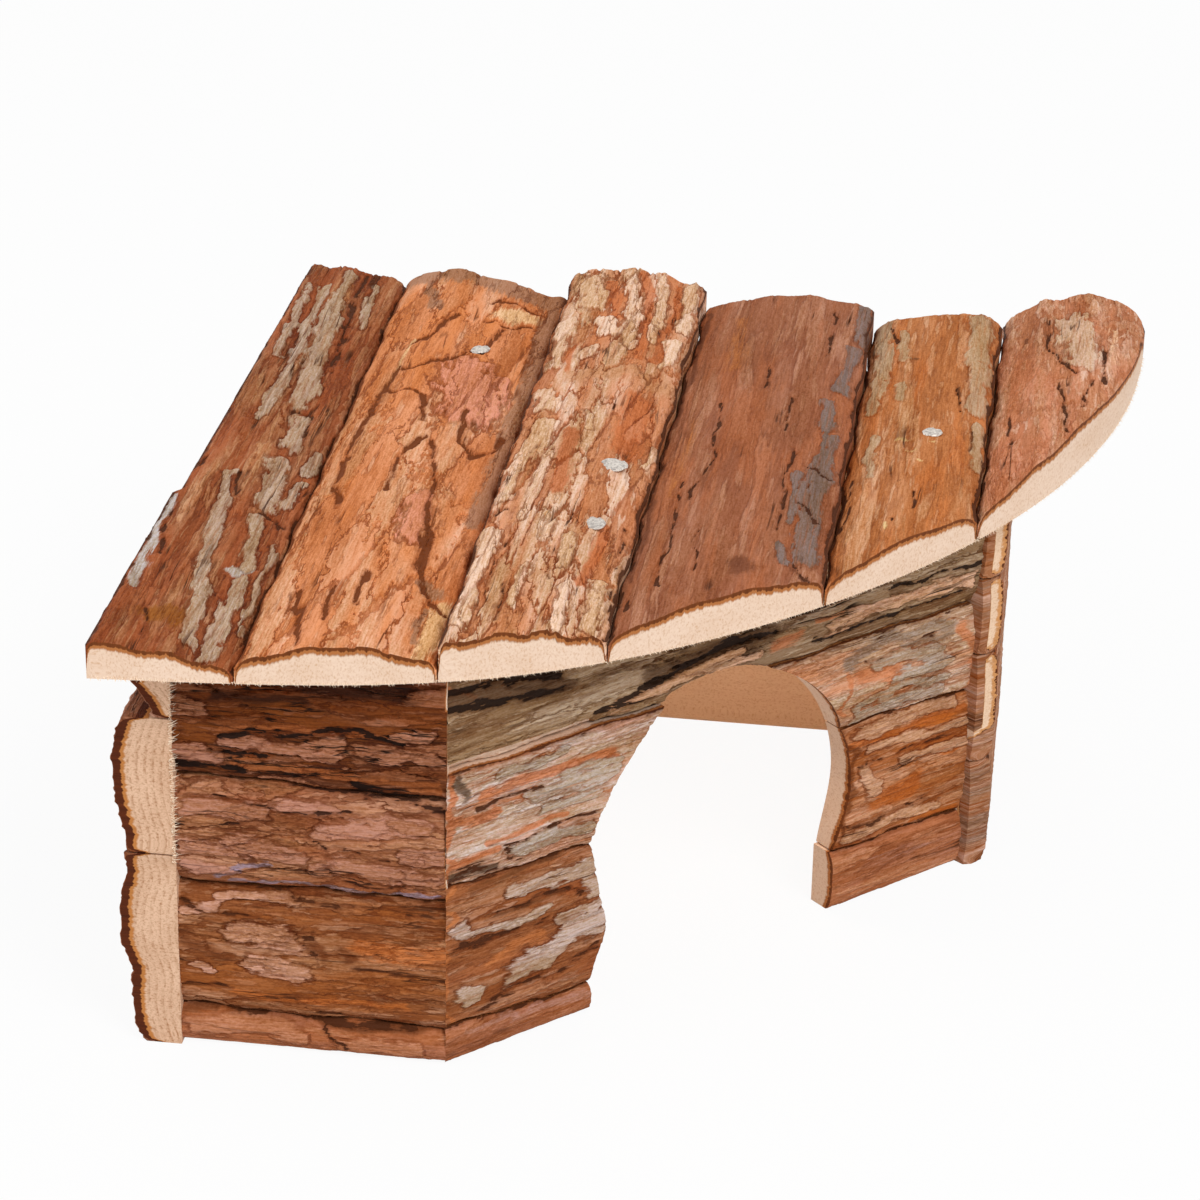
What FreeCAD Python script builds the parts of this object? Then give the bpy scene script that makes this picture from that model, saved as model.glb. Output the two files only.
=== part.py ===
# A small hamster house of bark-faced boards: an open-bottomed shelter with five walls,
# an arched doorway in the slanted wall and a flat roof of six bark planks.
#
# While it is drawn, the corner of the left wall and the short front wall stands at x = 0, y = 0
# on the floor, +X runs along the short front wall, +Y runs back along the left wall and +Z is up.
# Before export everything moves so that the origin lies on the floor under the middle of the roof.

import FreeCAD
import Part
import os
from collections import namedtuple

# ---- driving dimensions, in millimetres ----

# walls, seen in plan
wall_span = 176.0              # outside of the left wall to outside of the right wall, and front to back
short_front_length = 68.0      # short front wall, from the left wall's face to the slanted wall
wall_height = 92.0             # floor to the underside of the roof
wall_thickness = 11.6          # flat inner face to the nominal bark face, four straight walls
slant_thickness = 8.7          # the same for the slanted wall
bark_inset = 2.2               # the rounded bark face falls back this much at a board's edges
slant_bark_inset = 1.6         # right of the doorway the slanted wall's bark lies back this much more
right_bark_inset = 0.6         # the right wall's flatter boards
board_gap = 0.4                # open seam between two boards of a wall
right_end_strip = 6.6          # how much of the right wall's sawn end shows beside the slanted wall
right_end_proud = 0.4          # that end stands this far out from the slanted wall's nominal face

# seams between wall boards: height at one end of the wall and at the other
left_wall_seams = ((46.0, 46.0), (77.2, 77.2))
# outline of each of the left wall's boards: how far its bark stands out at given shares of its height
left_bark_shares = ((0, 0.25, 0.41, 0.48, 0.65, 0.78, 0.86, 1), (0, 0.1, 0.3, 0.56, 0.8, 1),
                    (0, 0.12, 0.4, 0.66, 1))
left_wall_barks = ((-3.1, -1.2, -1.3, 0.0, 0.7, 0.4, -0.7, -0.2), (-0.6, -0.9, 0.3, 1.2, 0.8, -1.0),
                   (-7.4, -7.3, -4.9, -2.7, -1.6))
short_front_seams = ((9.2, 7.6), (38.6, 39.0), (64.4, 62.0))
slant_top_seam = (68.0, 66.2)
slant_left_seams = ((8.4, 3.8), (42.4, 38.6))      # short front corner, then the doorway's middle
slant_right_seams = ((15.9, 13.2), (46.6, 44.6))   # the doorway's middle, then the right-hand corner
right_wall_seams = ((27.0, 25.0), (54.0, 55.0), (72.5, 71.0))
back_wall_seams = ((23.0, 24.5), (48.0, 46.5), (71.0, 71.0))

# doorway in the slanted wall
doorway_width = 72.8
doorway_height = 70.1
doorway_shift = -1.57          # its middle, to the right of the slanted wall's middle
# the arch from jamb to jamb: across as a share of half the width, up as a share of its own height
doorway_arch_shares = ((-1, 0), (-0.975, 0.34), (-0.77, 0.67), (-0.47, 0.915), (-0.08, 1), (0.34, 0.915),
                       (0.65, 0.72), (0.9, 0.39), (1, 0))
jamb_swell = 3.2               # the jambs bulge into the doorway this far below the arch
left_swell_height = 20.0
right_swell_height = 22.5
right_jamb_foot = 15.0         # below this the right jamb runs straight down
right_sill_reach = 3.9         # the bottom board on the right stands out into the doorway

# roof planks
roof_left_overhang = 2.0
roof_left_skew = 2.6           # the left edge drifts this far to the right towards the back
roof_front_overhang = 13.0     # in front of the left wall
roof_corner_overhang = 2.6     # in front of the corner of the short front wall and the slanted wall
roof_bow = 19.0                # in front of the middle of the slanted wall
roof_side_overhang = 7.6       # beside the right-hand end of the slanted wall
roof_right_overhang = 28.0     # the tip, beside the right wall
roof_tip_radius = 7.0
roof_straight_share = 0.4      # share of the short front wall that the sawn edge passes nearly straight
plank_shares = (0.1422, 0.1922, 0.1529, 0.1990)    # first four planks' widths in front, of the roof's
plank_tapers = (-5.7, 1.4, 1.7, 0.0)               # how much wider each is at the back than in front
last_plank_bearing = 7.5       # the last plank's left edge, in from the right wall's face
last_plank_skew = 1.7          # that edge drifts this far to the right towards the back
plank_back_overhangs = (22.0, 19.5, 23.0, 18.0, 16.0, 24.0)
# each plank's thickness at equal steps from its left edge to its right edge
plank_front_sections = ((8.6, 8.1, 7.6, 6.6, 4.9, 2.9), (4.6, 7.4, 8.9, 8.8, 7.2, 4.3),
                        (8.6, 9.4, 9.9, 9.4, 7.6, 4.8), (5.0, 7.9, 9.4, 9.6, 8.4, 5.2),
                        (4.8, 7.7, 9.2, 9.4, 8.2, 5.2), (5.4, 7.7, 9.2, 9.4, 8.3, 6.4))
plank_back_sections = ((8.2, 8.2, 8.0, 7.4, 6.3, 4.3), (5.4, 9.8, 9.9, 8.2, 6.2, 4.3),
                       (9.2, 11.2, 12.0, 11.7, 10.2, 7.8), (4.8, 7.6, 9.5, 10.1, 9.3, 7.7),
                       (2.9, 6.8, 7.8, 8.6, 9.2, 6.5), (3.6, 9.4, 11.6, 12.9, 11.9, 7.7))
# long shallow furrows in each plank's bark: share of its width in front, and at the back
furrow_shares = (((0.42, 0.18), (0.74, 0.62)), ((0.22, 0.21), (0.5, 0.5), (0.83, 0.87)),
                 ((0.16, 0.35), (0.51, 0.58), (0.78, 0.81)), ((0.24, 0.28), (0.55, 0.5), (0.75, 0.74)),
                 ((0.22, 0.27), (0.8, 0.74)), ((0.2, 0.2), (0.5, 0.36), (0.8, 0.76)))
furrow_depths = (0.7, 0.7, 0.8, 0.4, 0.6, 0.6)
plank_gap = 0.4                # open seam between two planks

# inside frame
post_width = 14.0              # corner posts, along each wall
post_depth = 11.0              # posts of the two blunt corners, into the room
post_foot_gap = 1.0            # posts stop short of the floor
batten_thickness = 10.0
front_batten_width = 40.0
front_batten_gap = 5.8         # its back edge, in front of the front right post
back_batten_width = 27.0

# brads and nails
brad_diameter = 1.4
brad_bite = 8.0                # how far a brad goes into the piece behind
brad_cover = 5.0               # bark and wood over a brad's end
roof_brad_reach = 3.0          # how far a hidden roof brad goes up into its plank
brad_inset = 10.0              # from the inside corner, along the wall
nail_shank_diameter = 1.8
nail_head_diameter = 4.6
nail_head_thickness = 0.9
nail_head_sink = 0.5
nail_bite = 8.0
batten_nail_margin = 5.0       # the third plank's two nails, in from the front batten's edges
third_plank_nail_offset = 7.2  # and right of the plank's middle line
second_plank_nail_offset = 5.0
fifth_plank_nail_setback = 10.5                    # back from the right wall's front inside corner

# ---- small helpers ----

V = FreeCAD.Vector
UP = V(0, 0, 1)
Wall = namedtuple("Wall", "corner along outward length thickness")


def arched(inset, rise=0.0):
    """A rounded bark face: it falls back by inset at a board's two edges and has its crown at rise."""
    return (0, -inset), (0.5, rise), (1, -inset)


PLAIN_BARK = arched(bark_inset)
RIGHT_WALL_BARK = arched(right_bark_inset)
LEFT_SLANT_BARK = arched(bark_inset / 2)
RIGHT_SLANT_BARK = arched(bark_inset / 2 + slant_bark_inset, -slant_bark_inset)
TOP_SLANT_BARK = (0, -bark_inset - slant_bark_inset / 2), (0.5, -slant_bark_inset / 2), (1, -bark_inset)
far = 4 * (wall_span + wall_height)                 # beyond everything


def at(wall, along, outward=0.0, height=0.0):
    """Point at a distance along a wall, out from its nominal bark face, and up from the floor."""
    return wall.corner + wall.along * along + wall.outward * outward + UP * height


def prism(points, low, high):
    """Upright solid over a plan outline given as corner points."""
    corners = [V(p.x, p.y, low) for p in points]
    face = Part.Face(Part.makePolygon(corners + corners[:1]))
    return face.extrude(UP * (high - low))


def keep_side(shape, point, direction):
    """Cut away everything beyond the upright plane through point that direction points to."""
    side = UP.cross(direction)
    corner = V(point.x, point.y, 0)
    outline = [corner - side * far, corner + side * far,
               corner + side * far + direction * far, corner - side * far + direction * far]
    return shape.cut(prism(outline, -far, far))


def loft(first, last):
    """Ruled solid between two closed sections."""
    return Part.makeLoft([first, last], True, True)


def through(points, even=False):
    """Smooth edge through given points: an arc for three, otherwise a curve, evenly paced or not."""
    if len(points) == 3:
        return Part.Arc(*points).toShape()
    curve = Part.BSplineCurve()
    if even:
        curve.interpolate(Points=points, Parameters=[float(i) for i in range(len(points))])
    else:
        curve.interpolate(points)
    return curve.toShape()


def section(low_in, outside, high_in, even=False):
    """Closed section: a flat foot, a rounded outer side through given points, a top and a flat back."""
    edges = [Part.LineSegment(low_in, outside[0]).toShape(),
             through(outside, even),
             Part.LineSegment(outside[-1], high_in).toShape(),
             Part.LineSegment(high_in, low_in).toShape()]
    return Part.Wire(edges)


def pin(start, direction, length, diameter):
    return Part.makeCylinder(diameter / 2, length, start, direction)


def save(name, shape, shift):
    """Write one node's STEP file, moved into the part's own frame."""
    placed = shape.copy()
    placed.translate(shift)
    placed.exportStep("parts/" + name + ".step")


# ---- walls in plan ----

slant = V(1, 1, 0).normalize()
slant_corner = V(short_front_length, 0, 0)
right_corner = V(wall_span, wall_span - short_front_length, 0)
slant_length = (right_corner - slant_corner).Length
doorway_middle = slant_length / 2 + doorway_shift

left_wall = Wall(V(0, 0, 0), V(0, 1, 0), V(-1, 0, 0), wall_span, wall_thickness)
front_wall = Wall(V(0, 0, 0), V(1, 0, 0), V(0, -1, 0), short_front_length, wall_thickness)
slant_wall = Wall(slant_corner, slant, V(1, -1, 0).normalize(), slant_length, slant_thickness)
right_wall = Wall(right_corner, V(0, 1, 0), V(1, 0, 0), short_front_length, wall_thickness)
back_wall = Wall(V(0, wall_span, 0), V(1, 0, 0), V(0, 1, 0), wall_span, wall_thickness)


def along_of(wall, point):
    """Distance of a point along a wall, from the wall's corner."""
    return (point - wall.corner).dot(wall.along)


def inside_corner(first, second):
    """Where the inner faces of two walls meet."""
    start = at(first, 0, -first.thickness)
    gap = (at(second, 0, -second.thickness) - start).dot(second.outward)
    return start + first.along * (gap / first.along.dot(second.outward))


front_inside_corner = inside_corner(front_wall, slant_wall)
right_inside_corner = inside_corner(slant_wall, right_wall)

# the upright joint plane at each blunt corner: a point on it, and its normal from left to right
front_joint = slant_corner
front_joint_normal = (front_inside_corner - slant_corner).cross(UP).normalize()
right_joint = at(slant_wall, slant_length - right_end_strip)
right_joint_normal = (right_inside_corner - right_joint).cross(UP).normalize()


def wall_board(wall, start, end, low, high, bark=PLAIN_BARK):
    """One board of a wall. low and high are its edges' heights at start and at end."""
    sections = []
    for along, bottom, top in ((start, low[0], high[0]), (end, low[1], high[1])):
        face = [at(wall, along, out, bottom + (top - bottom) * part) for part, out in bark]
        sections.append(section(at(wall, along, -wall.thickness, bottom), face,
                                at(wall, along, -wall.thickness, top)))
    return loft(sections[0], sections[1])


def stack(seams):
    """Bottom and top heights of each board between the floor, the seams and the roof."""
    lows = [(0.0, 0.0)] + [(a + board_gap / 2, b + board_gap / 2) for a, b in seams]
    highs = [(a - board_gap / 2, b - board_gap / 2) for a, b in seams] + [(wall_height, wall_height)]
    return list(zip(lows, highs))


# ---- doorway ----

def jamb(points):
    """Swelling edge of the doorway through given points."""
    curve = Part.BSplineCurve()
    curve.interpolate(points)
    return curve.toShape()


def doorway_cutter():
    """The doorway's opening as a solid through the slanted wall."""
    half = doorway_width / 2
    spring = doorway_height - half
    below = -wall_thickness
    foot = half - jamb_swell

    def spot(across, height):
        return at(slant_wall, doorway_middle + across, slant_thickness, height)

    left_jamb = jamb([spot(-half, 0), spot(-foot, left_swell_height), spot(-half, spring)])
    rise = doorway_height - spring
    arch = through([spot(half * across, spring + rise * up) for across, up in doorway_arch_shares])
    right_jamb = jamb([spot(half, spring), spot((half + foot) / 2, right_swell_height),
                       spot(foot, right_jamb_foot)])
    sill = [spot(foot, right_jamb_foot), spot(foot, below), spot(-half, below), spot(-half, 0)]
    edges = [left_jamb, arch, right_jamb]
    edges += [Part.LineSegment(a, b).toShape() for a, b in zip(sill, sill[1:])]
    return Part.Face(Part.Wire(edges)).extrude(slant_wall.outward * -far)


# ---- wall boards, by node name ----

def left_wall_boards():
    """Boards of the left wall, whose end grain shows beside the short front wall."""
    boards = {}
    names = ("bottom", "middle", "top")
    barks = [tuple(zip(*outline)) for outline in zip(left_bark_shares, left_wall_barks)]
    for name, (low, high), bark in zip(names, stack(left_wall_seams), barks):
        boards["left_wall_board_" + name] = wall_board(left_wall, 0, wall_span, low, high, bark)
    return boards


def front_wall_boards():
    boards = {}
    for count, (low, high) in enumerate(stack(short_front_seams), 1):
        board = wall_board(front_wall, wall_thickness, short_front_length + wall_thickness, low, high)
        boards["front_wall_board_%d" % count] = keep_side(board, front_joint, front_joint_normal)
    return boards


def trim_slant(board):
    """Cut a board of the slanted wall to the joint planes at its two ends."""
    board = keep_side(board, front_joint, front_joint_normal * -1)
    return keep_side(board, right_joint, right_joint_normal)


def slant_wall_boards():
    """Boards of the slanted wall. Those that the doorway crosses are a left and a right piece."""
    doorway = doorway_cutter()
    start = -wall_thickness
    end = slant_wall.length + wall_thickness
    middle = doorway_middle
    boards = {}
    top_low, top_high = stack([slant_top_seam])[1]
    boards["slant_wall_board_top"] = wall_board(slant_wall, start, end, top_low, top_high,
                                                TOP_SLANT_BARK)
    seam_middle = slant_top_seam[0] + (slant_top_seam[1] - slant_top_seam[0]) * middle / slant_wall.length
    names = ("bottom", "middle", "upper")
    left = stack(list(slant_left_seams) + [(slant_top_seam[0], seam_middle)])
    for name, (low, high) in zip(names, left):
        boards["slant_wall_board_%s_left" % name] = wall_board(slant_wall, start, middle, low, high,
                                                                 LEFT_SLANT_BARK)
    right = stack(list(slant_right_seams) + [(seam_middle, slant_top_seam[1])])
    for name, (low, high) in zip(names, right):
        boards["slant_wall_board_%s_right" % name] = wall_board(slant_wall, middle, end, low, high,
                                                                  RIGHT_SLANT_BARK)
    sill_end = at(slant_wall, doorway_middle + doorway_width / 2 - right_sill_reach)
    for name in boards:
        board = boards[name]
        if name.endswith("bottom_right"):
            board = keep_side(board, sill_end, slant_wall.along * -1)
        else:
            board = board.cut(doorway)
        boards[name] = trim_slant(board)
    return boards


def right_wall_boards():
    boards = {}
    for count, (low, high) in enumerate(stack(right_wall_seams), 1):
        board = wall_board(right_wall, -2 * wall_thickness, right_wall.length, low, high,
                           RIGHT_WALL_BARK)
        board = keep_side(board, right_joint, right_joint_normal * -1)
        board = keep_side(board, at(slant_wall, 0, right_end_proud), slant_wall.outward)
        boards["right_wall_board_%d" % count] = board
    return boards


def back_wall_boards():
    """Boards of the back wall, which stand between the left and the right wall."""
    boards = {}
    for count, (low, high) in enumerate(stack(back_wall_seams), 1):
        boards["back_wall_board_%d" % count] = wall_board(
            back_wall, wall_thickness, wall_span - wall_thickness, low, high)
    return boards


# ---- corner posts ----

def square_post(corner, along, inward):
    """Post of a square inside corner."""
    outline = [corner, corner + along * post_width, corner + (along + inward) * post_width,
               corner + inward * post_width]
    return prism(outline, post_foot_gap, wall_height)


def blunt_post(corner, first, second):
    """Post of a blunt inside corner between a wall and the next one on its right."""
    on_first = corner - first.along * post_width
    on_second = corner + second.along * post_width
    outline = [corner, on_second, on_second - second.outward * post_depth,
               on_first - first.outward * post_depth, on_first]
    return prism(outline, post_foot_gap, wall_height)


def corner_posts():
    inside = wall_span - wall_thickness
    near = wall_thickness
    return {
        "post_front_left": square_post(V(near, near, 0), V(1, 0, 0), V(0, 1, 0)),
        "post_back_left": square_post(V(near, inside, 0), V(1, 0, 0), V(0, -1, 0)),
        "post_back_right": square_post(V(inside, inside, 0), V(-1, 0, 0), V(0, -1, 0)),
        "post_front_middle": blunt_post(front_inside_corner, front_wall, slant_wall),
        "post_front_right": blunt_post(right_inside_corner, slant_wall, right_wall),
    }


# ---- roof ----

def plank_edges():
    """X of the edges between planks, left to right, at the front line and at the back line."""
    front = [-roof_left_overhang]
    back = [-roof_left_overhang + roof_left_skew]
    roof_width = roof_left_overhang + wall_span + roof_right_overhang
    for share, taper in zip(plank_shares, plank_tapers):
        front.append(front[-1] + roof_width * share)
        back.append(back[-1] + roof_width * share + taper)
    last = wall_span - last_plank_bearing
    front.append(last)
    back.append(last + last_plank_skew)
    front.append(wall_span + roof_right_overhang)
    back.append(wall_span + roof_right_overhang)
    return list(zip(front, back))


roof_edges = plank_edges()
roof_front_y = -roof_front_overhang
roof_back_y = wall_span + max(plank_back_overhangs)


def edge_x(edge, y):
    """X of a plank edge at a given distance back."""
    share = (y - roof_front_y) / (roof_back_y - roof_front_y)
    return edge[0] + (edge[1] - edge[0]) * share


def plank_sides(index, y):
    """X of a plank's two sides, half a seam in from its edges, except at the roof's own sides."""
    left = edge_x(roof_edges[index], y)
    right = edge_x(roof_edges[index + 1], y)
    if index > 0:
        left += plank_gap / 2
    if index < len(plank_back_overhangs) - 1:
        right -= plank_gap / 2
    return left, right


def plank_bark(index, y):
    """Points across a plank's bark face at a given distance back: edges, furrows and the crests between."""
    left, right = plank_sides(index, y)
    back = (y - roof_front_y) / (wall_span + plank_back_overhangs[index] - roof_front_y)
    pairs = list(zip(plank_front_sections[index], plank_back_sections[index]))
    steps = len(pairs) - 1
    crown = through([V(left + (right - left) * count / steps, y, wall_height + front + (rear - front) * back)
                     for count, (front, rear) in enumerate(pairs)], even=True).Curve
    furrows = [front + (rear - front) * back for front, rear in furrow_shares[index]]
    lows = [0.0] + furrows + [1.0]
    bark = [crown.value(0.0)]
    for before, share in zip(lows, lows[1:]):
        bark.append(crown.value((before + share) / 2 * steps))
        sink = furrow_depths[index] if share in furrows else 0.0
        bark.append(crown.value(share * steps) - UP * sink)
    return bark


def plank_section(index, y):
    bark = plank_bark(index, y)
    return section(V(bark[0].x, y, wall_height), bark, V(bark[-1].x, y, wall_height), even=True)


def roof_front_curve():
    """The sawn front edge of the roof, one sweep from the left corner to the tip on the right."""
    slant_middle = at(slant_wall, slant_wall.length / 2, roof_bow)
    tip = V(wall_span + roof_right_overhang, wall_span + plank_back_overhangs[-1] - roof_tip_radius, 0)
    points = [V(-roof_left_overhang, roof_front_y, 0),
              V(short_front_length * roof_straight_share, roof_front_y + roof_corner_overhang, 0),
              slant_corner - V(0, roof_corner_overhang, 0),
              slant_middle,
              right_corner + V(roof_side_overhang, 0, 0),
              tip]
    curve = Part.BSplineCurve()
    curve.interpolate(points)
    return curve


def roof_outline():
    """The roof's plan as a solid: everything behind the front curve, with a rounded tip."""
    curve = roof_front_curve()
    start = curve.value(curve.FirstParameter)
    tip = curve.value(curve.LastParameter)
    back = wall_span + plank_back_overhangs[-1]
    round_middle = tip + V(-roof_tip_radius, 0, 0) + slant * roof_tip_radius
    round_end = tip + V(-roof_tip_radius, back - tip.y, 0)
    far_back = [round_end, V(round_end.x, far, 0), V(-far, far, 0), V(-far, start.y, 0), start]
    edges = [curve.toShape(), Part.Arc(tip, round_middle, round_end).toShape()]
    edges += [Part.LineSegment(a, b).toShape() for a, b in zip(far_back, far_back[1:])]
    outline = Part.Face(Part.Wire(edges))
    return outline.extrude(UP * far)


def roof_planks():
    outline = roof_outline()
    planks = {}
    for index, overhang in enumerate(plank_back_overhangs):
        plank = loft(plank_section(index, roof_front_y), plank_section(index, wall_span + overhang))
        planks["roof_plank_%d" % (index + 1)] = plank.common(outline)
    return planks


def plank_top(x, y):
    """Height of the roof's bark face at a point in plan."""
    index = sum(x > edge_x(edge, y) for edge in roof_edges) - 1
    upright = Part.LineSegment(V(x, y, wall_height), V(x, y, far)).toShape()
    nearest = upright.distToShape(through(plank_bark(index, y), even=True))[1][0]
    return nearest[0].z


# ---- roof battens ----

front_batten_back = right_inside_corner.y - post_width * slant.y - front_batten_gap
front_batten_y = front_batten_back - front_batten_width


def front_batten():
    """Batten from the left wall to the slanted wall, cut to the slanted wall's inner face."""
    start = V(wall_thickness, front_batten_y, 0)
    outline = [start, start + V(wall_span, 0, 0), start + V(wall_span, front_batten_width, 0),
               start + V(0, front_batten_width, 0)]
    batten = prism(outline, wall_height - batten_thickness, wall_height)
    return keep_side(batten, at(slant_wall, 0, -slant_thickness), slant_wall.outward)


def back_batten():
    """Batten against the back wall, between the two back posts."""
    left = wall_thickness + post_width
    right = wall_span - wall_thickness - post_width
    back = wall_span - wall_thickness
    front = back - back_batten_width
    outline = [V(left, front, 0), V(right, front, 0), V(right, back, 0), V(left, back, 0)]
    return prism(outline, wall_height - batten_thickness, wall_height)


# ---- fasteners ----

def wall_brad(wall, along, height):
    """Brad through a wall board into what stands behind it."""
    start = at(wall, along, -brad_cover, height)
    return pin(start, wall.outward * -1, wall.thickness - brad_cover + brad_bite, brad_diameter)


def board_heights(seams):
    """Middle height of each board at the two ends of its wall."""
    return [((low[0] + high[0]) / 2, (low[1] + high[1]) / 2) for low, high in stack(seams)]


def brad_row(wall, first, last, seams):
    """Two brads for each board, into the posts at the wall's two ends."""
    brads = []
    for at_first, at_last in board_heights(seams):
        brads.append(wall_brad(wall, first, at_first))
        brads.append(wall_brad(wall, last, at_last))
    return brads


def wall_brads():
    """Brads of each wall, and those that hold the battens' ends and back."""
    square = wall_thickness + brad_inset
    front_end = along_of(front_wall, front_inside_corner) - brad_inset
    slant_start = along_of(slant_wall, front_inside_corner) + brad_inset
    slant_end = along_of(slant_wall, right_inside_corner) - brad_inset
    right_start = along_of(right_wall, right_inside_corner) + brad_inset
    batten_middle = wall_height - batten_thickness / 2
    left = brad_row(left_wall, square, wall_span - square, left_wall_seams)
    left.append(wall_brad(left_wall, front_batten_y + batten_nail_margin, batten_middle))
    back = brad_row(back_wall, square, wall_span - square, back_wall_seams)
    back.append(wall_brad(back_wall, wall_span / 2, batten_middle))
    slant_left = list(slant_left_seams) + [slant_top_seam]
    slant_right = list(slant_right_seams) + [slant_top_seam]
    slanted = [wall_brad(slant_wall, slant_start, heights[0]) for heights in board_heights(slant_left)]
    slanted += [wall_brad(slant_wall, slant_end, heights[1]) for heights in board_heights(slant_right)]
    return {
        "left_wall_brads": left,
        "front_wall_brads": brad_row(front_wall, square, front_end, short_front_seams),
        "slant_wall_brads": slanted,
        "right_wall_brads": brad_row(right_wall, right_start, right_wall.length - square, right_wall_seams),
        "back_wall_brads": back,
    }


def batten_lines():
    """Distances back of the front batten's middle and the back batten's middle."""
    front = front_batten_y + front_batten_width / 2
    back = wall_span - wall_thickness - back_batten_width / 2
    return front, back


def plank_middle(index, y):
    left, right = plank_sides(index, y)
    return (left + right) / 2


def roof_brad(x, y):
    """Brad from inside a plank down into the batten, post or wall under it."""
    start = V(x, y, wall_height - brad_bite)
    return pin(start, UP, brad_bite + roof_brad_reach, brad_diameter)


def roof_brads():
    """Hidden brads of the roof: each plank has two fixings, these or the nails that show."""
    front, back = batten_lines()
    post = wall_thickness + post_width / 2
    over_right_wall = (wall_span - last_plank_bearing + last_plank_skew + wall_span - bark_inset) / 2
    right_wall_front = right_inside_corner.y + post_width
    spots = [(plank_middle(0, front) + last_plank_bearing, front),
             (post, wall_span - post),
             (plank_middle(1, front), front),
             (plank_middle(2, back), back),
             (plank_middle(3, front) - last_plank_bearing, front),
             (plank_middle(3, back), back),
             (plank_middle(4, back) - last_plank_bearing, back),
             (over_right_wall, right_wall_front),
             (over_right_wall, wall_span - post)]
    return [roof_brad(x, y) for x, y in spots]


def roof_nail(x, y):
    """Nail whose round head shows on the bark."""
    top = plank_top(x, y) - nail_head_sink
    shank_foot = wall_height - nail_bite
    shank = pin(V(x, y, shank_foot), UP, top - shank_foot, nail_shank_diameter)
    head = pin(V(x, y, top), UP, nail_head_thickness, nail_head_diameter)
    return shank.fuse(head)


def roof_nails():
    """The four nails that show: one in the second plank, two in the third, one in the fifth."""
    back = batten_lines()[1]
    third = plank_middle(2, front_batten_y) + third_plank_nail_offset
    post = right_inside_corner + V(-post_width / 2, fifth_plank_nail_setback, 0)
    spots = [(plank_middle(1, back) + second_plank_nail_offset, back),
             (third, front_batten_y + batten_nail_margin),
             (third, front_batten_y + front_batten_width - batten_nail_margin),
             (post.x, post.y)]
    return [roof_nail(x, y) for x, y in spots]


# ---- the whole house ----

def drill(pieces, fasteners):
    """Cut every fastener's hole in the pieces it passes through."""
    for name, piece in pieces.items():
        for fastener in fasteners:
            if piece.BoundBox.intersect(fastener.BoundBox):
                piece = piece.cut(fastener)
        pieces[name] = piece
    return pieces


def house():
    """Every node's shape by name, in the drawing frame."""
    pieces = {}
    for group in (left_wall_boards(), front_wall_boards(), slant_wall_boards(), right_wall_boards(),
                  back_wall_boards(), corner_posts(), roof_planks()):
        pieces.update(group)
    pieces["front_batten"] = front_batten()
    pieces["back_batten"] = back_batten()
    fasteners = wall_brads()
    fasteners["roof_brads"] = roof_brads()
    fasteners["roof_nails"] = roof_nails()
    pieces = drill(pieces, [one for group in fasteners.values() for one in group])
    for name, group in fasteners.items():
        pieces[name] = Part.makeCompound(group)
    return pieces


def main():
    os.makedirs("parts", exist_ok=True)
    roof_middle_x = (wall_span + roof_right_overhang - roof_left_overhang) / 2
    roof_middle_y = (roof_front_y + roof_back_y) / 2
    shift = V(-roof_middle_x, -roof_middle_y, 0)
    for name, shape in house().items():
        save(name, shape, shift)


main()
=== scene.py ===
"""Looks of a small hamster house: bark planks and bark-faced wall boards on a timber frame.

Lengths in the classes are millimetres in the drawing frame: the outer corner of the left wall and
the short front wall stands at x = 0, y = 0 on the floor, +X runs along the short front wall, +Y runs
back along the left wall and +Z is up. Meshes are moved into the part's frame and turned to metres
as they are made.
"""
import sys

import logging
import math
from dataclasses import astuple, dataclass
from enum import Enum
from typing import Callable

import bpy
import numpy as np
from mathutils import Matrix, Vector

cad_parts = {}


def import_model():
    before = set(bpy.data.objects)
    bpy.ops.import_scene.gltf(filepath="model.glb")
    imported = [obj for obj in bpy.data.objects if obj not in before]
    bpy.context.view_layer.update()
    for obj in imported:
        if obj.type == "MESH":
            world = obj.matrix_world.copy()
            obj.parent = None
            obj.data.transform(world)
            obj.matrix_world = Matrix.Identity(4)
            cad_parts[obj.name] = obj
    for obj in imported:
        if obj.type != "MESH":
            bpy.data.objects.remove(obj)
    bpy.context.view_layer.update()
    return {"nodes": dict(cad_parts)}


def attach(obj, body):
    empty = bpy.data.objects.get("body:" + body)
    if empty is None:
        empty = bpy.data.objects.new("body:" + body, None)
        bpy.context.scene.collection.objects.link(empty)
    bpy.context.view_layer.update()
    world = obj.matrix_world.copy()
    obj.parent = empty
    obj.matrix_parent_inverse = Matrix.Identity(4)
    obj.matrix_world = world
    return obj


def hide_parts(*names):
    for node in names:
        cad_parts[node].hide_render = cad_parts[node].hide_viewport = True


LOG = logging.getLogger("hamster_house")
MM = 0.001
TO_PART = np.array((-101.0, -93.5, 0.0))
BODY = "root"
WALL_HEIGHT = 92.0
WALL_SPAN = 176.0
CORNER_X = 68.0
BOARD_GAP = 0.4
RINGS = ((0.6, 0.2), (1.4, 0.33), (2.6, 0.46), (4.5, 0.59), (math.inf, 1.0))
SAWN_FADE = 2.2
NOISE_SIDE = 61
DIAGONAL = math.sqrt(0.5)
SEAM_WAVES = ((0.30, 6.1, 1.7), (0.20, 2.6, 2.9))
SHADE_POWERS = (0.8, 1.2, 2.0)
WANDERS = ((9.0, 3.2, 2.2, 0.9), (3.4, 1.5, 1.0, 0.45))


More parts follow.
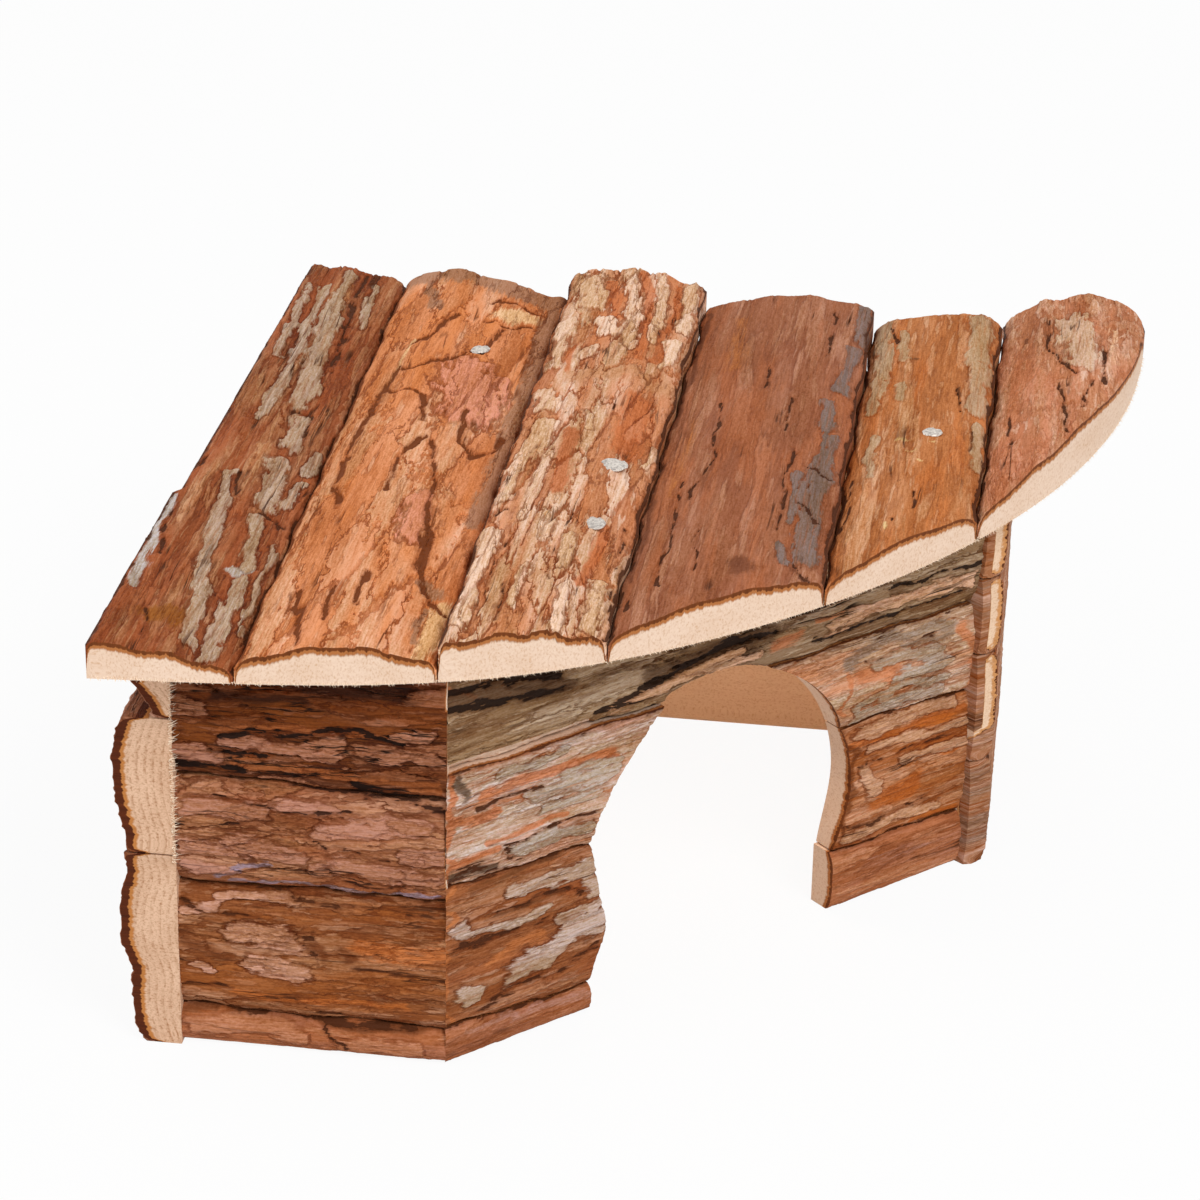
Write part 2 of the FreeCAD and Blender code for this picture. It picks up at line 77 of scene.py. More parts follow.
def colour(red: float, green: float, blue: float) -> tuple[float, float, float, float]:
    """Turn a colour as seen on a screen, 0 to 255, into the linear colour that shaders use.

    Args:
        red, green, blue: the screen colour.

    Returns:
        The linear colour with an alpha of 1.
    """
    parts = []
    for value in (red, green, blue):
        share = value / 255
        parts.append(share / 12.92 if share <= 0.04045 else ((share + 0.055) / 1.055) ** 2.4)
    return (parts[0], parts[1], parts[2], 1.0)


def spline(knots: np.ndarray, values: np.ndarray, wanted: np.ndarray) -> np.ndarray:
    """Read a natural cubic spline.

    Args:
        knots: rising places of the given points.
        values: the value, or row of values, at each knot.
        wanted: the places to read.

    Returns:
        The spline's values there.
    """
    knots, values, wanted = (np.asarray(a, float) for a in (knots, values, wanted))
    count = len(knots)
    gap = np.diff(knots)
    system = np.eye(count)
    right = np.zeros(values.shape)
    for i in range(1, count - 1):
        system[i, i - 1:i + 2] = gap[i - 1], 2 * (gap[i - 1] + gap[i]), gap[i]
        right[i] = 6 * ((values[i + 1] - values[i]) / gap[i] - (values[i] - values[i - 1]) / gap[i - 1])
    bend = np.linalg.solve(system, right)
    span = np.clip(np.searchsorted(knots, wanted) - 1, 0, count - 2)
    after = wanted - knots[span]
    before = knots[span + 1] - wanted
    step = gap[span]
    if values.ndim > 1:
        after, before, step = after[:, None], before[:, None], step[:, None]
    return ((bend[span] * before ** 3 + bend[span + 1] * after ** 3) / (6 * step)
            + (values[span] / step - bend[span] * step / 6) * before
            + (values[span + 1] / step - bend[span + 1] * step / 6) * after)


# ---------------------------------------------------------------- node trees


class TreeKind(Enum):
    """Where a node group is used."""

    SHADER = "ShaderNodeTree"
    GEOMETRY = "GeometryNodeTree"


class Wire:
    """A number, vector or colour that runs through a tree. Arithmetic on it adds Math nodes."""

    def __init__(self, net: "Wiring", socket: bpy.types.NodeSocket) -> None:
        """Keep the socket and the tree's wiring."""
        self.net = net
        self.socket = socket

    def __add__(self, other: "Value") -> "Wire":
        """Add a number."""
        return self.net.math("ADD", self, other)

    def __sub__(self, other: "Value") -> "Wire":
        """Take a number away."""
        return self.net.math("SUBTRACT", self, other)

    def __rsub__(self, other: "Value") -> "Wire":
        """Take this away from a number."""
        return self.net.math("SUBTRACT", other, self)

    def __mul__(self, other: "Value") -> "Wire":
        """Multiply by a number."""
        return self.net.math("MULTIPLY", self, other)

    def __truediv__(self, other: "Value") -> "Wire":
        """Divide by a number."""
        return self.net.math("DIVIDE", self, other)


Value = Wire | float | tuple


class Wiring:
    """Short ways to add nodes to one tree and join them."""

    def __init__(self, tree: bpy.types.NodeTree) -> None:
        """Keep the tree that the nodes go into."""
        self.tree = tree
        self.shades = tree.bl_idname == TreeKind.SHADER.value

    def add(self, kind: str, inputs: dict | None = None, **settings) -> bpy.types.Node:
        """Add a node.

        Args:
            kind: the node's type name.
            inputs: values or wires by the input's name or number.
            settings: the node's properties.

        Returns:
            The node.
        """
        node = self.tree.nodes.new(kind)
        for name, value in settings.items():
            setattr(node, name, value)
        self.fill(node, inputs or {})
        return node

    def fill(self, node: bpy.types.Node, inputs: dict) -> None:
        """Join a node's inputs to wires, or set their own values.

        Args:
            node: the node.
            inputs: values or wires by the input's name or number.
        """
        for name, value in inputs.items():
            if isinstance(value, tuple) and any(isinstance(part, Wire) for part in value):
                value = self.wire("ShaderNodeCombineXYZ", dict(enumerate(value)))
            if isinstance(value, Wire):
                self.tree.links.new(value.socket, node.inputs[name])
            else:
                node.inputs[name].default_value = value

    def wire(self, kind: str, inputs: dict | None = None, output: str | int = 0, **settings) -> Wire:
        """Add a node and give its first output, or the named one."""
        return Wire(self, self.add(kind, inputs, **settings).outputs[output])

    def math(self, operation: str, *values: Value) -> Wire:
        """Add a Math node."""
        return self.wire("ShaderNodeMath", dict(enumerate(values)), operation=operation)

    def larger(self, first: Value, second: Value) -> Wire:
        """Give the larger of two numbers."""
        return self.math("MAXIMUM", first, second)

    def smaller(self, first: Value, second: Value) -> Wire:
        """Give the smaller of two numbers."""
        return self.math("MINIMUM", first, second)

    def scaled(self, vector: Value, factor: Value) -> Wire:
        """Scale a vector."""
        return self.wire("ShaderNodeVectorMath", {0: vector, "Scale": factor}, operation="SCALE")

    def unpack(self, vector: Value) -> tuple[Wire, ...]:
        """Split a vector into its three numbers."""
        node = self.add("ShaderNodeSeparateXYZ", {0: vector})
        return tuple(Wire(self, socket) for socket in node.outputs)

    def noise(self, place: Value, detail: float = 2.0, roughness: float = 0.5,
              output: str | int = 0) -> Wire:
        """Add a Noise Texture at scale 1.

        Args:
            place: where it is read.
            detail: octaves of finer noise.
            roughness: how strong the finer noise is.
            output: Color for three random numbers in place of one.

        Returns:
            The noise.
        """
        return self.wire("ShaderNodeTexNoise", {"Vector": place, "Scale": 1.0, "Detail": detail,
                                                "Roughness": roughness}, output, noise_dimensions="3D")

    def cells(self, place: Value) -> tuple[Wire, ...]:
        """Add flat Voronoi cells at scale 1.

        Args:
            place: where they are read.

        Returns:
            The distance to the nearest edge, and three random numbers of the cell.
        """
        distance, random = (
            self.wire("ShaderNodeTexVoronoi", {"Vector": place, "Scale": 1.0}, output,
                      voronoi_dimensions="2D", feature=feature)
            for feature, output in (("DISTANCE_TO_EDGE", "Distance"), ("F1", "Color")))
        return (distance, *self.unpack(random))

    def ramp(self, value: Value, low: Value, high: Value) -> Wire:
        """Ease a number from 0 at low to 1 at high."""
        return self.wire("ShaderNodeMapRange", {"Value": value, "From Min": low, "From Max": high},
                         interpolation_type="SMOOTHSTEP")

    def blend(self, share: Value, first: Value, second: Value, mode: str = "MIX") -> Wire:
        """Mix two colours."""
        return self.wire("ShaderNodeMix", {0: share, 6: first, 7: second}, 2, data_type="RGBA",
                         blend_type=mode)

    def colour(self, *values: Value) -> Wire:
        """Join red, green and blue into a colour."""
        return self.wire("ShaderNodeCombineColor", dict(enumerate(values)))

    def attribute(self, name: str) -> Wire:
        """Read a vector that the piece's own points keep.

        Args:
            name: the vector's name.

        Returns:
            The vector.
        """
        if self.shades:
            return self.wire("ShaderNodeAttribute", None, "Vector", attribute_name=name)
        return self.wire("GeometryNodeInputNamedAttribute", {"Name": name}, "Attribute",
                         data_type="FLOAT_VECTOR")

    def marks(self) -> dict[str, Wire]:
        """Read what a board's points keep, by the bark groups' socket names."""
        return {name: self.attribute(name.lower()) for name in MARKS}

    def group(self, group: bpy.types.NodeTree, values: dict) -> dict[str, Wire]:
        """Place a group in the tree and feed its inputs.

        Args:
            group: the node group.
            values: values or wires by input name.

        Returns:
            The group's outputs by name.
        """
        node = self.add("ShaderNodeGroup" if self.shades else "GeometryNodeGroup", node_tree=group)
        self.fill(node, values)
        return {socket.name: Wire(self, socket) for socket in node.outputs}


def new_group(name: str, kind: TreeKind, inputs: dict[str, str], outputs: dict[str, str]) -> tuple:
    """Start a node group.

    Args:
        name: the group's name.
        kind: where it is used.
        inputs, outputs: socket type by socket name.

    Returns:
        The wiring of the new tree, its inputs by name, and its output node.
    """
    tree = bpy.data.node_groups.new(name, kind.value)
    for in_out, sockets in (("INPUT", inputs), ("OUTPUT", outputs)):
        for label, socket_type in sockets.items():
            tree.interface.new_socket(label, in_out=in_out, socket_type=socket_type)
    net = Wiring(tree)
    entry = net.add("NodeGroupInput")
    leave = net.add("NodeGroupOutput")
    return net, {label: Wire(net, entry.outputs[label]) for label in inputs}, leave


NUMBER = "NodeSocketFloat"
VECTOR = "NodeSocketVector"
COLOUR = "NodeSocketColor"
GEOMETRY = "NodeSocketGeometry"
MATERIAL = "NodeSocketMaterial"
MARKS = ("Grain", "Form", "Stain")
GROWTH = ("Flake Length", "Flake Width", "Plates", "Flakes", "Cells", "Cracks", "Fray", "Relief")
RELIEF_INPUTS = {**dict.fromkeys(MARKS, VECTOR), **dict.fromkeys(GROWTH, NUMBER)}
BARK_COLOURS = ("Deep", "Low", "Middle", "High", "Top", "Tint", "Stain A", "Stain B", "Stain C", "Rind",
                "Inner", "Pale", "Dark")


@dataclass(frozen=True)
class BarkGrowth:
    """How a piece of bark is built up from broad plates, smaller flakes on them, and cracks.

    Attributes:
        length, width: usual size of a plate, along and across the grain, in mm.
        plates: share of the surface that the broad plates cover, 0 to 1.
        flakes: share that the smaller flakes cover, 0 to 1.
        cells: how much of it is split into plates with a crevice round each, 0 to 1.
        cracks: how much of the surface has long cracks, 0 to 1.
        fray: how ragged the plates' edges are, 0 to 1.
        relief: height of a broad plate, in mm.
    """

    length: float
    width: float
    plates: float
    flakes: float
    cells: float
    cracks: float
    fray: float
    relief: float

    def sockets(self) -> dict[str, float]:
        """Give the values by the relief group's socket names."""
        return dict(zip(GROWTH, astuple(self)))


def bark_relief_group(kind: TreeKind) -> bpy.types.NodeTree:
    """Build the group that works out a bark's plates, flakes, cracks and height from its grain place.

    Args:
        kind: the geometry tree shapes the boards with it, and the shader tree colours them.

    Returns:
        The group. Its outputs are the broad plates, the flakes on them, the marked plates, a mask
        of painted shade under their rims, in crevices and beside cracks, the cracks with painted
        shade along the seams, a random tone of each plate, and the height in mm.
    """
    net, given, leave = new_group("Bark relief " + kind.name.lower(), kind, RELIEF_INPUTS, {
        "Plate": NUMBER, "Flake": NUMBER, "Marked": NUMBER, "Rim": NUMBER, "Crack": NUMBER,
        "Tone": NUMBER, "Height": NUMBER})
    along, across, _ = net.unpack(given["Grain"])
    lift, crack_and_seam_shade, peel = net.unpack(given["Form"])
    marked = net.unpack(given["Stain"])[0]

    drift = net.noise((along / 38.0, across / 13.0, 3.0), output="Color")
    drift_along, drift_across, _ = net.unpack(drift)
    frayed = (net.noise((along / 5.5, across / 0.8, 11.0), 3.0, 0.62) - 0.5) * given["Fray"]
    along = drift_along * 14.0 + along
    across = drift_across * 4.0 + across
    plate_u = along / given["Flake Length"]
    plate_v = across / given["Flake Width"]
    patchy = net.ramp(net.noise((along / 24.0, across / 7.0, 47.0)), 0.36, 0.56)
    torn = net.noise((along / 6.5, across / 2.2, 83.0), 3.0, 0.6) - 0.5

    def layer(size: float, share: Wire, lane: float, soft: float) -> tuple[Wire, Wire]:
        """Cover a share of the surface with flakes.

        Args:
            size: the flakes' size against the broad plates'.
            share: the share that they cover.
            lane: which part of the noise they are read from.
            soft: how gently they begin.

        Returns:
            Where the flakes are, and the shade just under their rims.
        """
        cover = net.noise((plate_u / size, plate_v / size, lane), 3.5, 0.56) + frayed * 0.2
        start = share * -0.36 + 0.68
        on = net.ramp(cover, start, start + soft)
        return on, net.ramp(cover, start - 0.05, start) * (1.0 - on)

    plate, plate_rim = layer(1.0, given["Plates"], 0.0, 0.035)
    flake, flake_rim = layer(0.34, given["Flakes"], 61.0, 0.05)
    place = (torn * 0.9 + plate_u, frayed * 0.7 + (torn * 0.9 + plate_v), 0.0)
    edge, kind, tone, open_seam = net.cells(place)
    here = net.ramp(kind, 0.96 - given["Plates"], 1.04 - given["Plates"])
    cell = here * net.ramp(edge, 0.03, 0.09)
    gap = open_seam * 0.07 + 0.015
    # Painted shade in the crevices between the cells.
    crevice = (1.0 - net.ramp(edge, gap * 0.4, gap)) * (patchy * 0.65 + 0.35)
    cells = given["Cells"]
    loose = 1.0 - cells
    plate = cell * cells + plate * loose
    plate_rim = plate_rim * loose
    edged = torn * 1.3 + (frayed * 0.8 + marked)
    on_mark = net.ramp(edged, 0.42, 0.60) * net.ramp(marked, 0.02, 0.2)
    mark_rim = net.ramp(edged, 0.24, 0.40) * (1.0 - on_mark) * net.ramp(marked, 0.02, 0.2)
    # The rim mask is painted shade: under the plates' and flakes' rims, round the marked plates and in the
    # crevices.
    rim = net.larger(plate_rim, flake_rim * 0.6) * patchy
    rim = net.larger(rim, mark_rim * (patchy * 0.5 + 0.5))
    rim = net.larger(rim, crevice * cells)

    seam = net.noise((plate_u / 2.2, plate_v / 0.9, 17.0), 3.0, 0.55)
    ridge = net.math("ABSOLUTE", seam - 0.5)
    reach = 0.70 - given["Cracks"] * 0.35
    gate = net.ramp(net.noise((along / 22.0, across / 6.0, 29.0)), reach, reach + 0.12)
    crack = (1.0 - net.ramp(ridge, 0.003, 0.024)) * gate
    # The form's second part holds the drawn cracks and the painted shade along the boards' seams.
    drawn = (frayed * 1.2 + (torn * 1.3 + crack_and_seam_shade)) * net.ramp(crack_and_seam_shade, 0.1, 0.5)
    crack = net.larger(crack, net.ramp(drawn, 0.70, 0.82))
    # A soft band of painted shade beside the cracks and seams.
    rim = net.larger(rim, net.ramp(drawn, 0.40, 0.74) * 0.7)

    swell = net.noise((along / 30.0, across / 9.0, 71.0), 1.0)
    built = (swell - 0.5) * 0.5 + (plate - 0.5) * 0.6 + flake * (plate * 0.5 + 0.5) * 0.3
    bared = net.smaller(net.larger(peel, 0.0), 0.8)
    height = (built * given["Relief"] + on_mark * 0.35 - rim * 0.22 - crack * 0.35 + frayed * 0.35
              + (lift - bared))
    net.fill(leave, {"Plate": plate, "Flake": flake, "Marked": on_mark, "Rim": rim, "Crack": crack,
                     "Tone": tone, "Height": height})
    return net.tree


def bark_shaping_tree(relief: bpy.types.NodeTree) -> bpy.types.NodeTree:
    """Build the geometry nodes that raise the flakes and sink the cracks of a board's bark face.

    Args:
        relief: the bark relief group for geometry.

    Returns:
        The tree, to be used as a modifier.
    """
    growth = {name: kind for name, kind in RELIEF_INPUTS.items() if name not in MARKS}
    net, given, leave = new_group(
        "Bark shaping", TreeKind.GEOMETRY,
        {"Geometry": GEOMETRY, **growth, "Outward": VECTOR, "Sawn Fade": NUMBER, "Finish": MATERIAL},
        {"Geometry": GEOMETRY})
    marks = net.marks()
    height = net.group(relief, {**{name: given[name] for name in growth}, **marks})["Height"]
    depth = net.unpack(marks["Grain"])[2]
    kept = 1.0 - net.ramp(depth, 0.0, given["Sawn Fade"])
    move = net.scaled(given["Outward"], height * kept * MM)
    place = net.wire("GeometryNodeSetPosition", {"Geometry": given["Geometry"], "Offset": move})
    finish_with(net, place, given["Finish"], leave)
    return net.tree


def finish_with(net: Wiring, geometry: Wire, finish: Wire, leave: bpy.types.Node) -> None:
    """End a geometry tree in Realize Instances and Set Material.

    Args:
        net: the tree's wiring.
        geometry: what the tree made.
        finish: the material.
        leave: the tree's output node.
    """
    real = net.wire("GeometryNodeRealizeInstances", {0: geometry})
    net.fill(leave, {0: net.wire("GeometryNodeSetMaterial", {"Geometry": real, "Material": finish})})


def apply_tree(piece: bpy.types.Object, tree: bpy.types.NodeTree, values: dict) -> None:
    """Run a geometry tree on a piece and keep the result as its plain mesh.

    Args:
        piece: the object.
        tree: the geometry tree.
        values: the tree's inputs by name.
    """
    modifier = piece.modifiers.new(tree.name, "NODES")
    modifier.node_group = tree
    for item in tree.interface.items_tree:
        if item.in_out == "INPUT" and item.name in values:
            modifier[item.identifier] = values[item.name]
    graph = bpy.context.evaluated_depsgraph_get()
    made = bpy.data.meshes.new_from_object(piece.evaluated_get(graph), preserve_all_data_layers=True,
                                           depsgraph=graph)
    piece.modifiers.clear()
    old = piece.data
    piece.data = made
    bpy.data.meshes.remove(old)
    made.name = piece.name


def random_vector(net: Wiring, low: tuple, high: tuple, seed: Wire) -> Wire:
    """Add a random vector for each point or instance."""
    return net.wire("FunctionNodeRandomValue", {0: low, 1: high, "Seed": seed}, data_type="FLOAT_VECTOR")


def splinter_tree() -> bpy.types.NodeTree:
    """Build the geometry nodes that set fine splinters all over a guide strip.

    Each point of the strip keeps the way its splinters lean.

    Returns:
        The tree, to be used as a modifier.
    """
    net, given, leave = new_group("Splinters", TreeKind.GEOMETRY, {
        "Geometry": GEOMETRY, "Density": NUMBER, "Length": NUMBER, "Radius": NUMBER, "Spread": NUMBER,
        "Seed": "NodeSocketInt", "Finish": MATERIAL}, {"Geometry": GEOMETRY})
    seed = given["Seed"]
    spots = net.wire("GeometryNodeDistributePointsOnFaces",
                     {"Mesh": given["Geometry"], "Density": given["Density"], "Seed": seed}, "Points",
                     distribute_method="RANDOM")
    fibre = net.wire("GeometryNodeMeshCone", {
        "Vertices": 4, "Side Segments": 1, "Radius Top": 0.0, "Radius Bottom": given["Radius"],
        "Depth": given["Length"]}, "Mesh")
    scatter = net.scaled(random_vector(net, (-1.0, -1.0, -1.0), (1.0, 1.0, 1.0), seed), given["Spread"])
    lean = net.wire("ShaderNodeVectorMath", {0: net.attribute("lean"), 1: scatter}, operation="ADD")
    turn = net.wire("FunctionNodeAlignRotationToVector", {"Vector": lean}, "Rotation", axis="Z")
    put = net.wire("GeometryNodeInstanceOnPoints", {
        "Points": spots, "Instance": fibre, "Rotation": turn,
        "Scale": random_vector(net, (0.6, 0.6, 0.25), (1.3, 1.3, 1.0), seed)}, "Instances")
    finish_with(net, put, given["Finish"], leave)
    return net.tree


def nail_tree() -> bpy.types.NodeTree:
    """Build the geometry nodes that set a hammered nail, its head uneven, at each guide point.

    Returns:
        The tree, to be used as a modifier.
    """
    net, given, leave = new_group("Nails", TreeKind.GEOMETRY, {
        "Geometry": GEOMETRY, "Head Radius": NUMBER, "Head Height": NUMBER, "Shank Radius": NUMBER,
        "Shank Length": NUMBER, "Dents": NUMBER, "Dent Scale": NUMBER, "Finish": MATERIAL},
        {"Geometry": GEOMETRY})
    dome = net.wire("GeometryNodeMeshUVSphere",
                    {"Segments": 40, "Rings": 20, "Radius": given["Head Radius"]}, "Mesh")
    flat = net.wire("GeometryNodeTransform", {
        "Geometry": dome, "Scale": (1.0, 1.0, given["Head Height"] / given["Head Radius"])})
    where = net.scaled(net.wire("GeometryNodeInputPosition"), given["Dent Scale"])
    centred = net.wire("ShaderNodeVectorMath", {0: net.noise(where, 2.0, 0.55, "Color"),
                                                1: (0.5, 0.5, 0.5)}, operation="SUBTRACT")
    dented = net.wire("GeometryNodeSetPosition",
                      {"Geometry": flat, "Offset": net.scaled(centred, given["Dents"])})
    shank = net.wire("GeometryNodeMeshCylinder", {
        "Vertices": 20, "Radius": given["Shank Radius"], "Depth": given["Shank Length"]}, "Mesh")
    sunk = net.wire("GeometryNodeTransform", {
        "Geometry": shank, "Translation": (0.0, 0.0, given["Shank Length"] * -0.5)})
    joined = net.add("GeometryNodeJoinGeometry")
    for part in (dented, sunk):
        net.fill(joined, {0: part})
    put = net.wire("GeometryNodeInstanceOnPoints", {
        "Points": given["Geometry"], "Instance": Wire(net, joined.outputs[0]),
        "Rotation": net.attribute("lean"), "Scale": net.attribute("size")}, "Instances")
    finish_with(net, put, given["Finish"], leave)
    return net.tree


# ---------------------------------------------------------------- finishes


def sawn_wood_group() -> bpy.types.NodeTree:
    """Build the group for bare softwood: pale sawn ends with rings, and long grain on flat faces.

    Returns:
        The group, from grain position to colour and height.
    """
    net, given, leave = new_group("Sawn wood", TreeKind.SHADER, {
        "Grain": VECTOR, "Pale": COLOUR, "Dark": COLOUR, "Ring Width": NUMBER, "Rings": NUMBER,
        "Long Grain": NUMBER}, {"Color": COLOUR, "Height": NUMBER})
    along, across, depth = net.unpack(given["Grain"])
    wander = net.noise((along / 60.0, across / 16.0, depth / 12.0), 2.0)
    ring = (wander * 2.5 + depth) / given["Ring Width"]
    worn = net.noise((along / 8.0, across / 1.3, depth / 0.8), 2.0, 0.6)
    ring = net.ramp(net.math("FRACT", ring), 0.35, 1.0) * net.ramp(worn, 0.35, 0.62)
    fibre = net.noise((along / 26.0, across / 0.7, depth / 0.7), 3.0, 0.6)
    speck = net.noise((along / 0.6, across / 0.4, depth / 0.6), 2.0, 0.65)
    cloud = net.ramp(net.noise((along / 130.0, across / 9.0, depth / 7.0), 2.0), 0.35, 0.75)
    shade = (ring * given["Rings"] + net.ramp(fibre, 0.35, 0.75) * given["Long Grain"]
             + net.ramp(speck, 0.46, 0.72) * 0.6 + cloud * 0.22)
    net.fill(leave, {"Color": net.blend(shade, given["Pale"], given["Dark"]),
                     "Height": speck * 0.5 + fibre * 0.5})
    return net.tree


def board_surface_group(relief: bpy.types.NodeTree, wood: bpy.types.NodeTree) -> bpy.types.NodeTree:
    """Build the group that colours a board: bark outside, a golden inner layer, pale wood below.

    Args:
        relief: the bark relief group for shaders.
        wood: the sawn wood group.

    Returns:
        The group, with colour, roughness and height.
    """
    inputs = {"Bark Thickness": NUMBER, "Streaks": NUMBER, "Rims": NUMBER, "Rings": NUMBER,
              **RELIEF_INPUTS, **dict.fromkeys(BARK_COLOURS, COLOUR)}
    net, given, leave = new_group("Board surface", TreeKind.SHADER, inputs,
                                  {"Color": COLOUR, "Roughness": NUMBER, "Height": NUMBER})
    shape = net.group(relief, {name: given[name] for name in RELIEF_INPUTS})
    along, across, depth = net.unpack(given["Grain"])
    _, stain_b, stain_c = net.unpack(given["Stain"])
    peel = net.unpack(given["Form"])[2]

    tones = net.unpack(net.noise((along / 42.0, across / 6.0, 1.0), 3.0, 0.55, "Color"))
    streak = net.noise((along / 11.0, across / 0.8, 5.0), 3.0, 0.62)
    fibre = net.noise((along / 2.6, across / 0.35, 7.0), 2.0, 0.6)
    grit = net.noise((along / 0.8, across / 0.5, 9.0), 2.0, 0.6)
    bark = net.blend(net.ramp(tones[0] + streak * 0.5, 0.58, 0.90), given["Low"], given["Middle"])
    plated = net.blend(net.ramp(streak, 0.36, 0.62), given["High"], given["Top"])
    plated = net.blend(net.ramp(tones[1], 0.42, 0.60) * 0.5, plated, given["Middle"])
    bark = net.blend(shape["Plate"], bark, plated)
    bark = net.blend(shape["Flake"] * (tones[2] * 0.8 + 0.1), bark, given["Top"])
    tinted = net.ramp(streak * 0.3 + tones[1], 0.62, 0.80) * 0.65
    bark = net.blend(tinted, bark, given["Tint"])

    edge = (fibre - 0.5) * 0.5 + (streak - 0.5)
    for stain, name in ((stain_b, "Stain B"), (stain_c, "Stain C")):
        reach = net.ramp(stain + edge * net.ramp(stain, 0.0, 0.3), 0.32, 0.68)
        bark = net.blend(reach * 0.85, bark, given[name])
    mottle = net.ramp(streak, 0.34, 0.52) * 0.45 + (tones[0] * 0.6 + 0.2)
    bark = net.blend(shape["Marked"] * mottle, bark, given["Stain A"])
    light = ((tones[2] - 0.5) * 0.9 + 1.0 + (shape["Tone"] - 0.5) * 0.36 * given["Cells"]
             + (streak - 0.5) * given["Streaks"] + (fibre - 0.5) + (grit - 0.5) * 0.85)
    light = net.smaller(net.larger(light, 0.3), 1.24)
    warm = net.colour(*(net.math("POWER", light, power) for power in SHADE_POWERS))
    bark = net.blend(1.0, bark, warm, "MULTIPLY")
    # Painted shade: the rim mask darkens the bark with a brown multiply under rims, in crevices and beside
    # cracks.
    shaded = shape["Rim"] * given["Rims"]
    bark = net.blend(shaded, bark, (0.36, 0.20, 0.09, 1.0), "MULTIPLY")
    # The deep colour fills the cracks, their dark inner bark with painted shade in them, and paints shade
    # along the seams.
    dark = shape["Crack"] * 0.95
    dark = net.larger(dark, net.ramp(grit, 0.68, 0.80) * 0.35)
    bark = net.blend(dark, bark, given["Deep"])

    saw = net.noise((along / 1.1, across / 1.1, 2.0), 2.0, 0.6)
    below = depth + peel + (saw - 0.5) * 2.0
    rind = net.blend(1.0, given["Rind"], net.colour(*[saw * 1.1 + 0.45] * 3), "MULTIPLY")
    under = depth + net.smaller(peel, 0.0)
    bark = net.blend(net.ramp(under, 0.05, 0.22), bark, rind)
    inner = net.ramp(below, given["Bark Thickness"] - 0.25, given["Bark Thickness"])
    wood_start = given["Bark Thickness"] + 0.45
    timber = net.group(wood, {"Grain": given["Grain"], "Pale": given["Pale"], "Dark": given["Dark"],
                              "Ring Width": 1.7, "Rings": given["Rings"], "Long Grain": 0.12})
    mixed = net.blend(inner, bark, given["Inner"])
    in_wood = net.ramp(below, wood_start, wood_start + 0.6)
    mixed = net.blend(in_wood, mixed, timber["Color"])

    height = (streak * 0.45 + grit * 0.25 + fibre * 0.3 + shape["Plate"] * 0.3 + shape["Marked"] * 0.3
              - net.larger(dark, shaded) * 0.5)
    height = height * (1.0 - in_wood) + timber["Height"] * 0.5 * in_wood
    net.fill(leave, {"Color": mixed, "Roughness": streak * 0.25 + 0.60, "Height": height})
    return net.tree


@dataclass(frozen=True)
class BarkFinish:
    """Colours and growth of one board's bark, with the bare wood under it.

    Attributes:
        name, slot: the material's name, and a slot's name, which is not used.
        growth: how the bark is built up.
        low, middle, high, top: from the bare ground to the outermost flakes.
        tint: a second colour that comes and goes.
        deep: what shows in cracks, with painted shade in them and along the seams.
        stain_a, stain_b, stain_c: colours of the marks, of which the first are raised plates.
        rind, inner: the cut bark and the layer under it.
        pale, dark: the sawn wood.
        thickness: how thick the bark is, in mm.
        streaks: how strong the fine streaks are.
        rims: how dark the painted shade at the plates' rims, crevices and cracks is, 0 to 1.
        rings: how strong the growth rings on the sawn faces are, 0 to 1.
        bump: height of the finest relief, in mm.
    """

    name: str
    slot: str
    growth: BarkGrowth
    low: tuple
    middle: tuple
    high: tuple
    top: tuple
    tint: tuple
    deep: tuple = (74, 36, 14)
    stain_a: tuple = (172, 146, 124)
    stain_b: tuple = (196, 118, 60)
    stain_c: tuple = (134, 116, 108)
    rind: tuple = (112, 58, 24)
    inner: tuple = (178, 112, 62)
    pale: tuple = (236, 209, 187)
    dark: tuple = (206, 164, 128)
    thickness: float = 1.1
    streaks: float = 0.55
    rims: float = 0.8
    rings: float = 0.10
    bump: float = 0.4

    def sockets(self) -> dict:
        """Give the values by the board surface group's socket names."""
        colours = {name: colour(*getattr(self, name.lower().replace(" ", "_"))) for name in BARK_COLOURS}
        return {**self.growth.sockets(), **colours, "Bark Thickness": self.thickness,
                "Streaks": self.streaks, "Rims": self.rims, "Rings": self.rings}


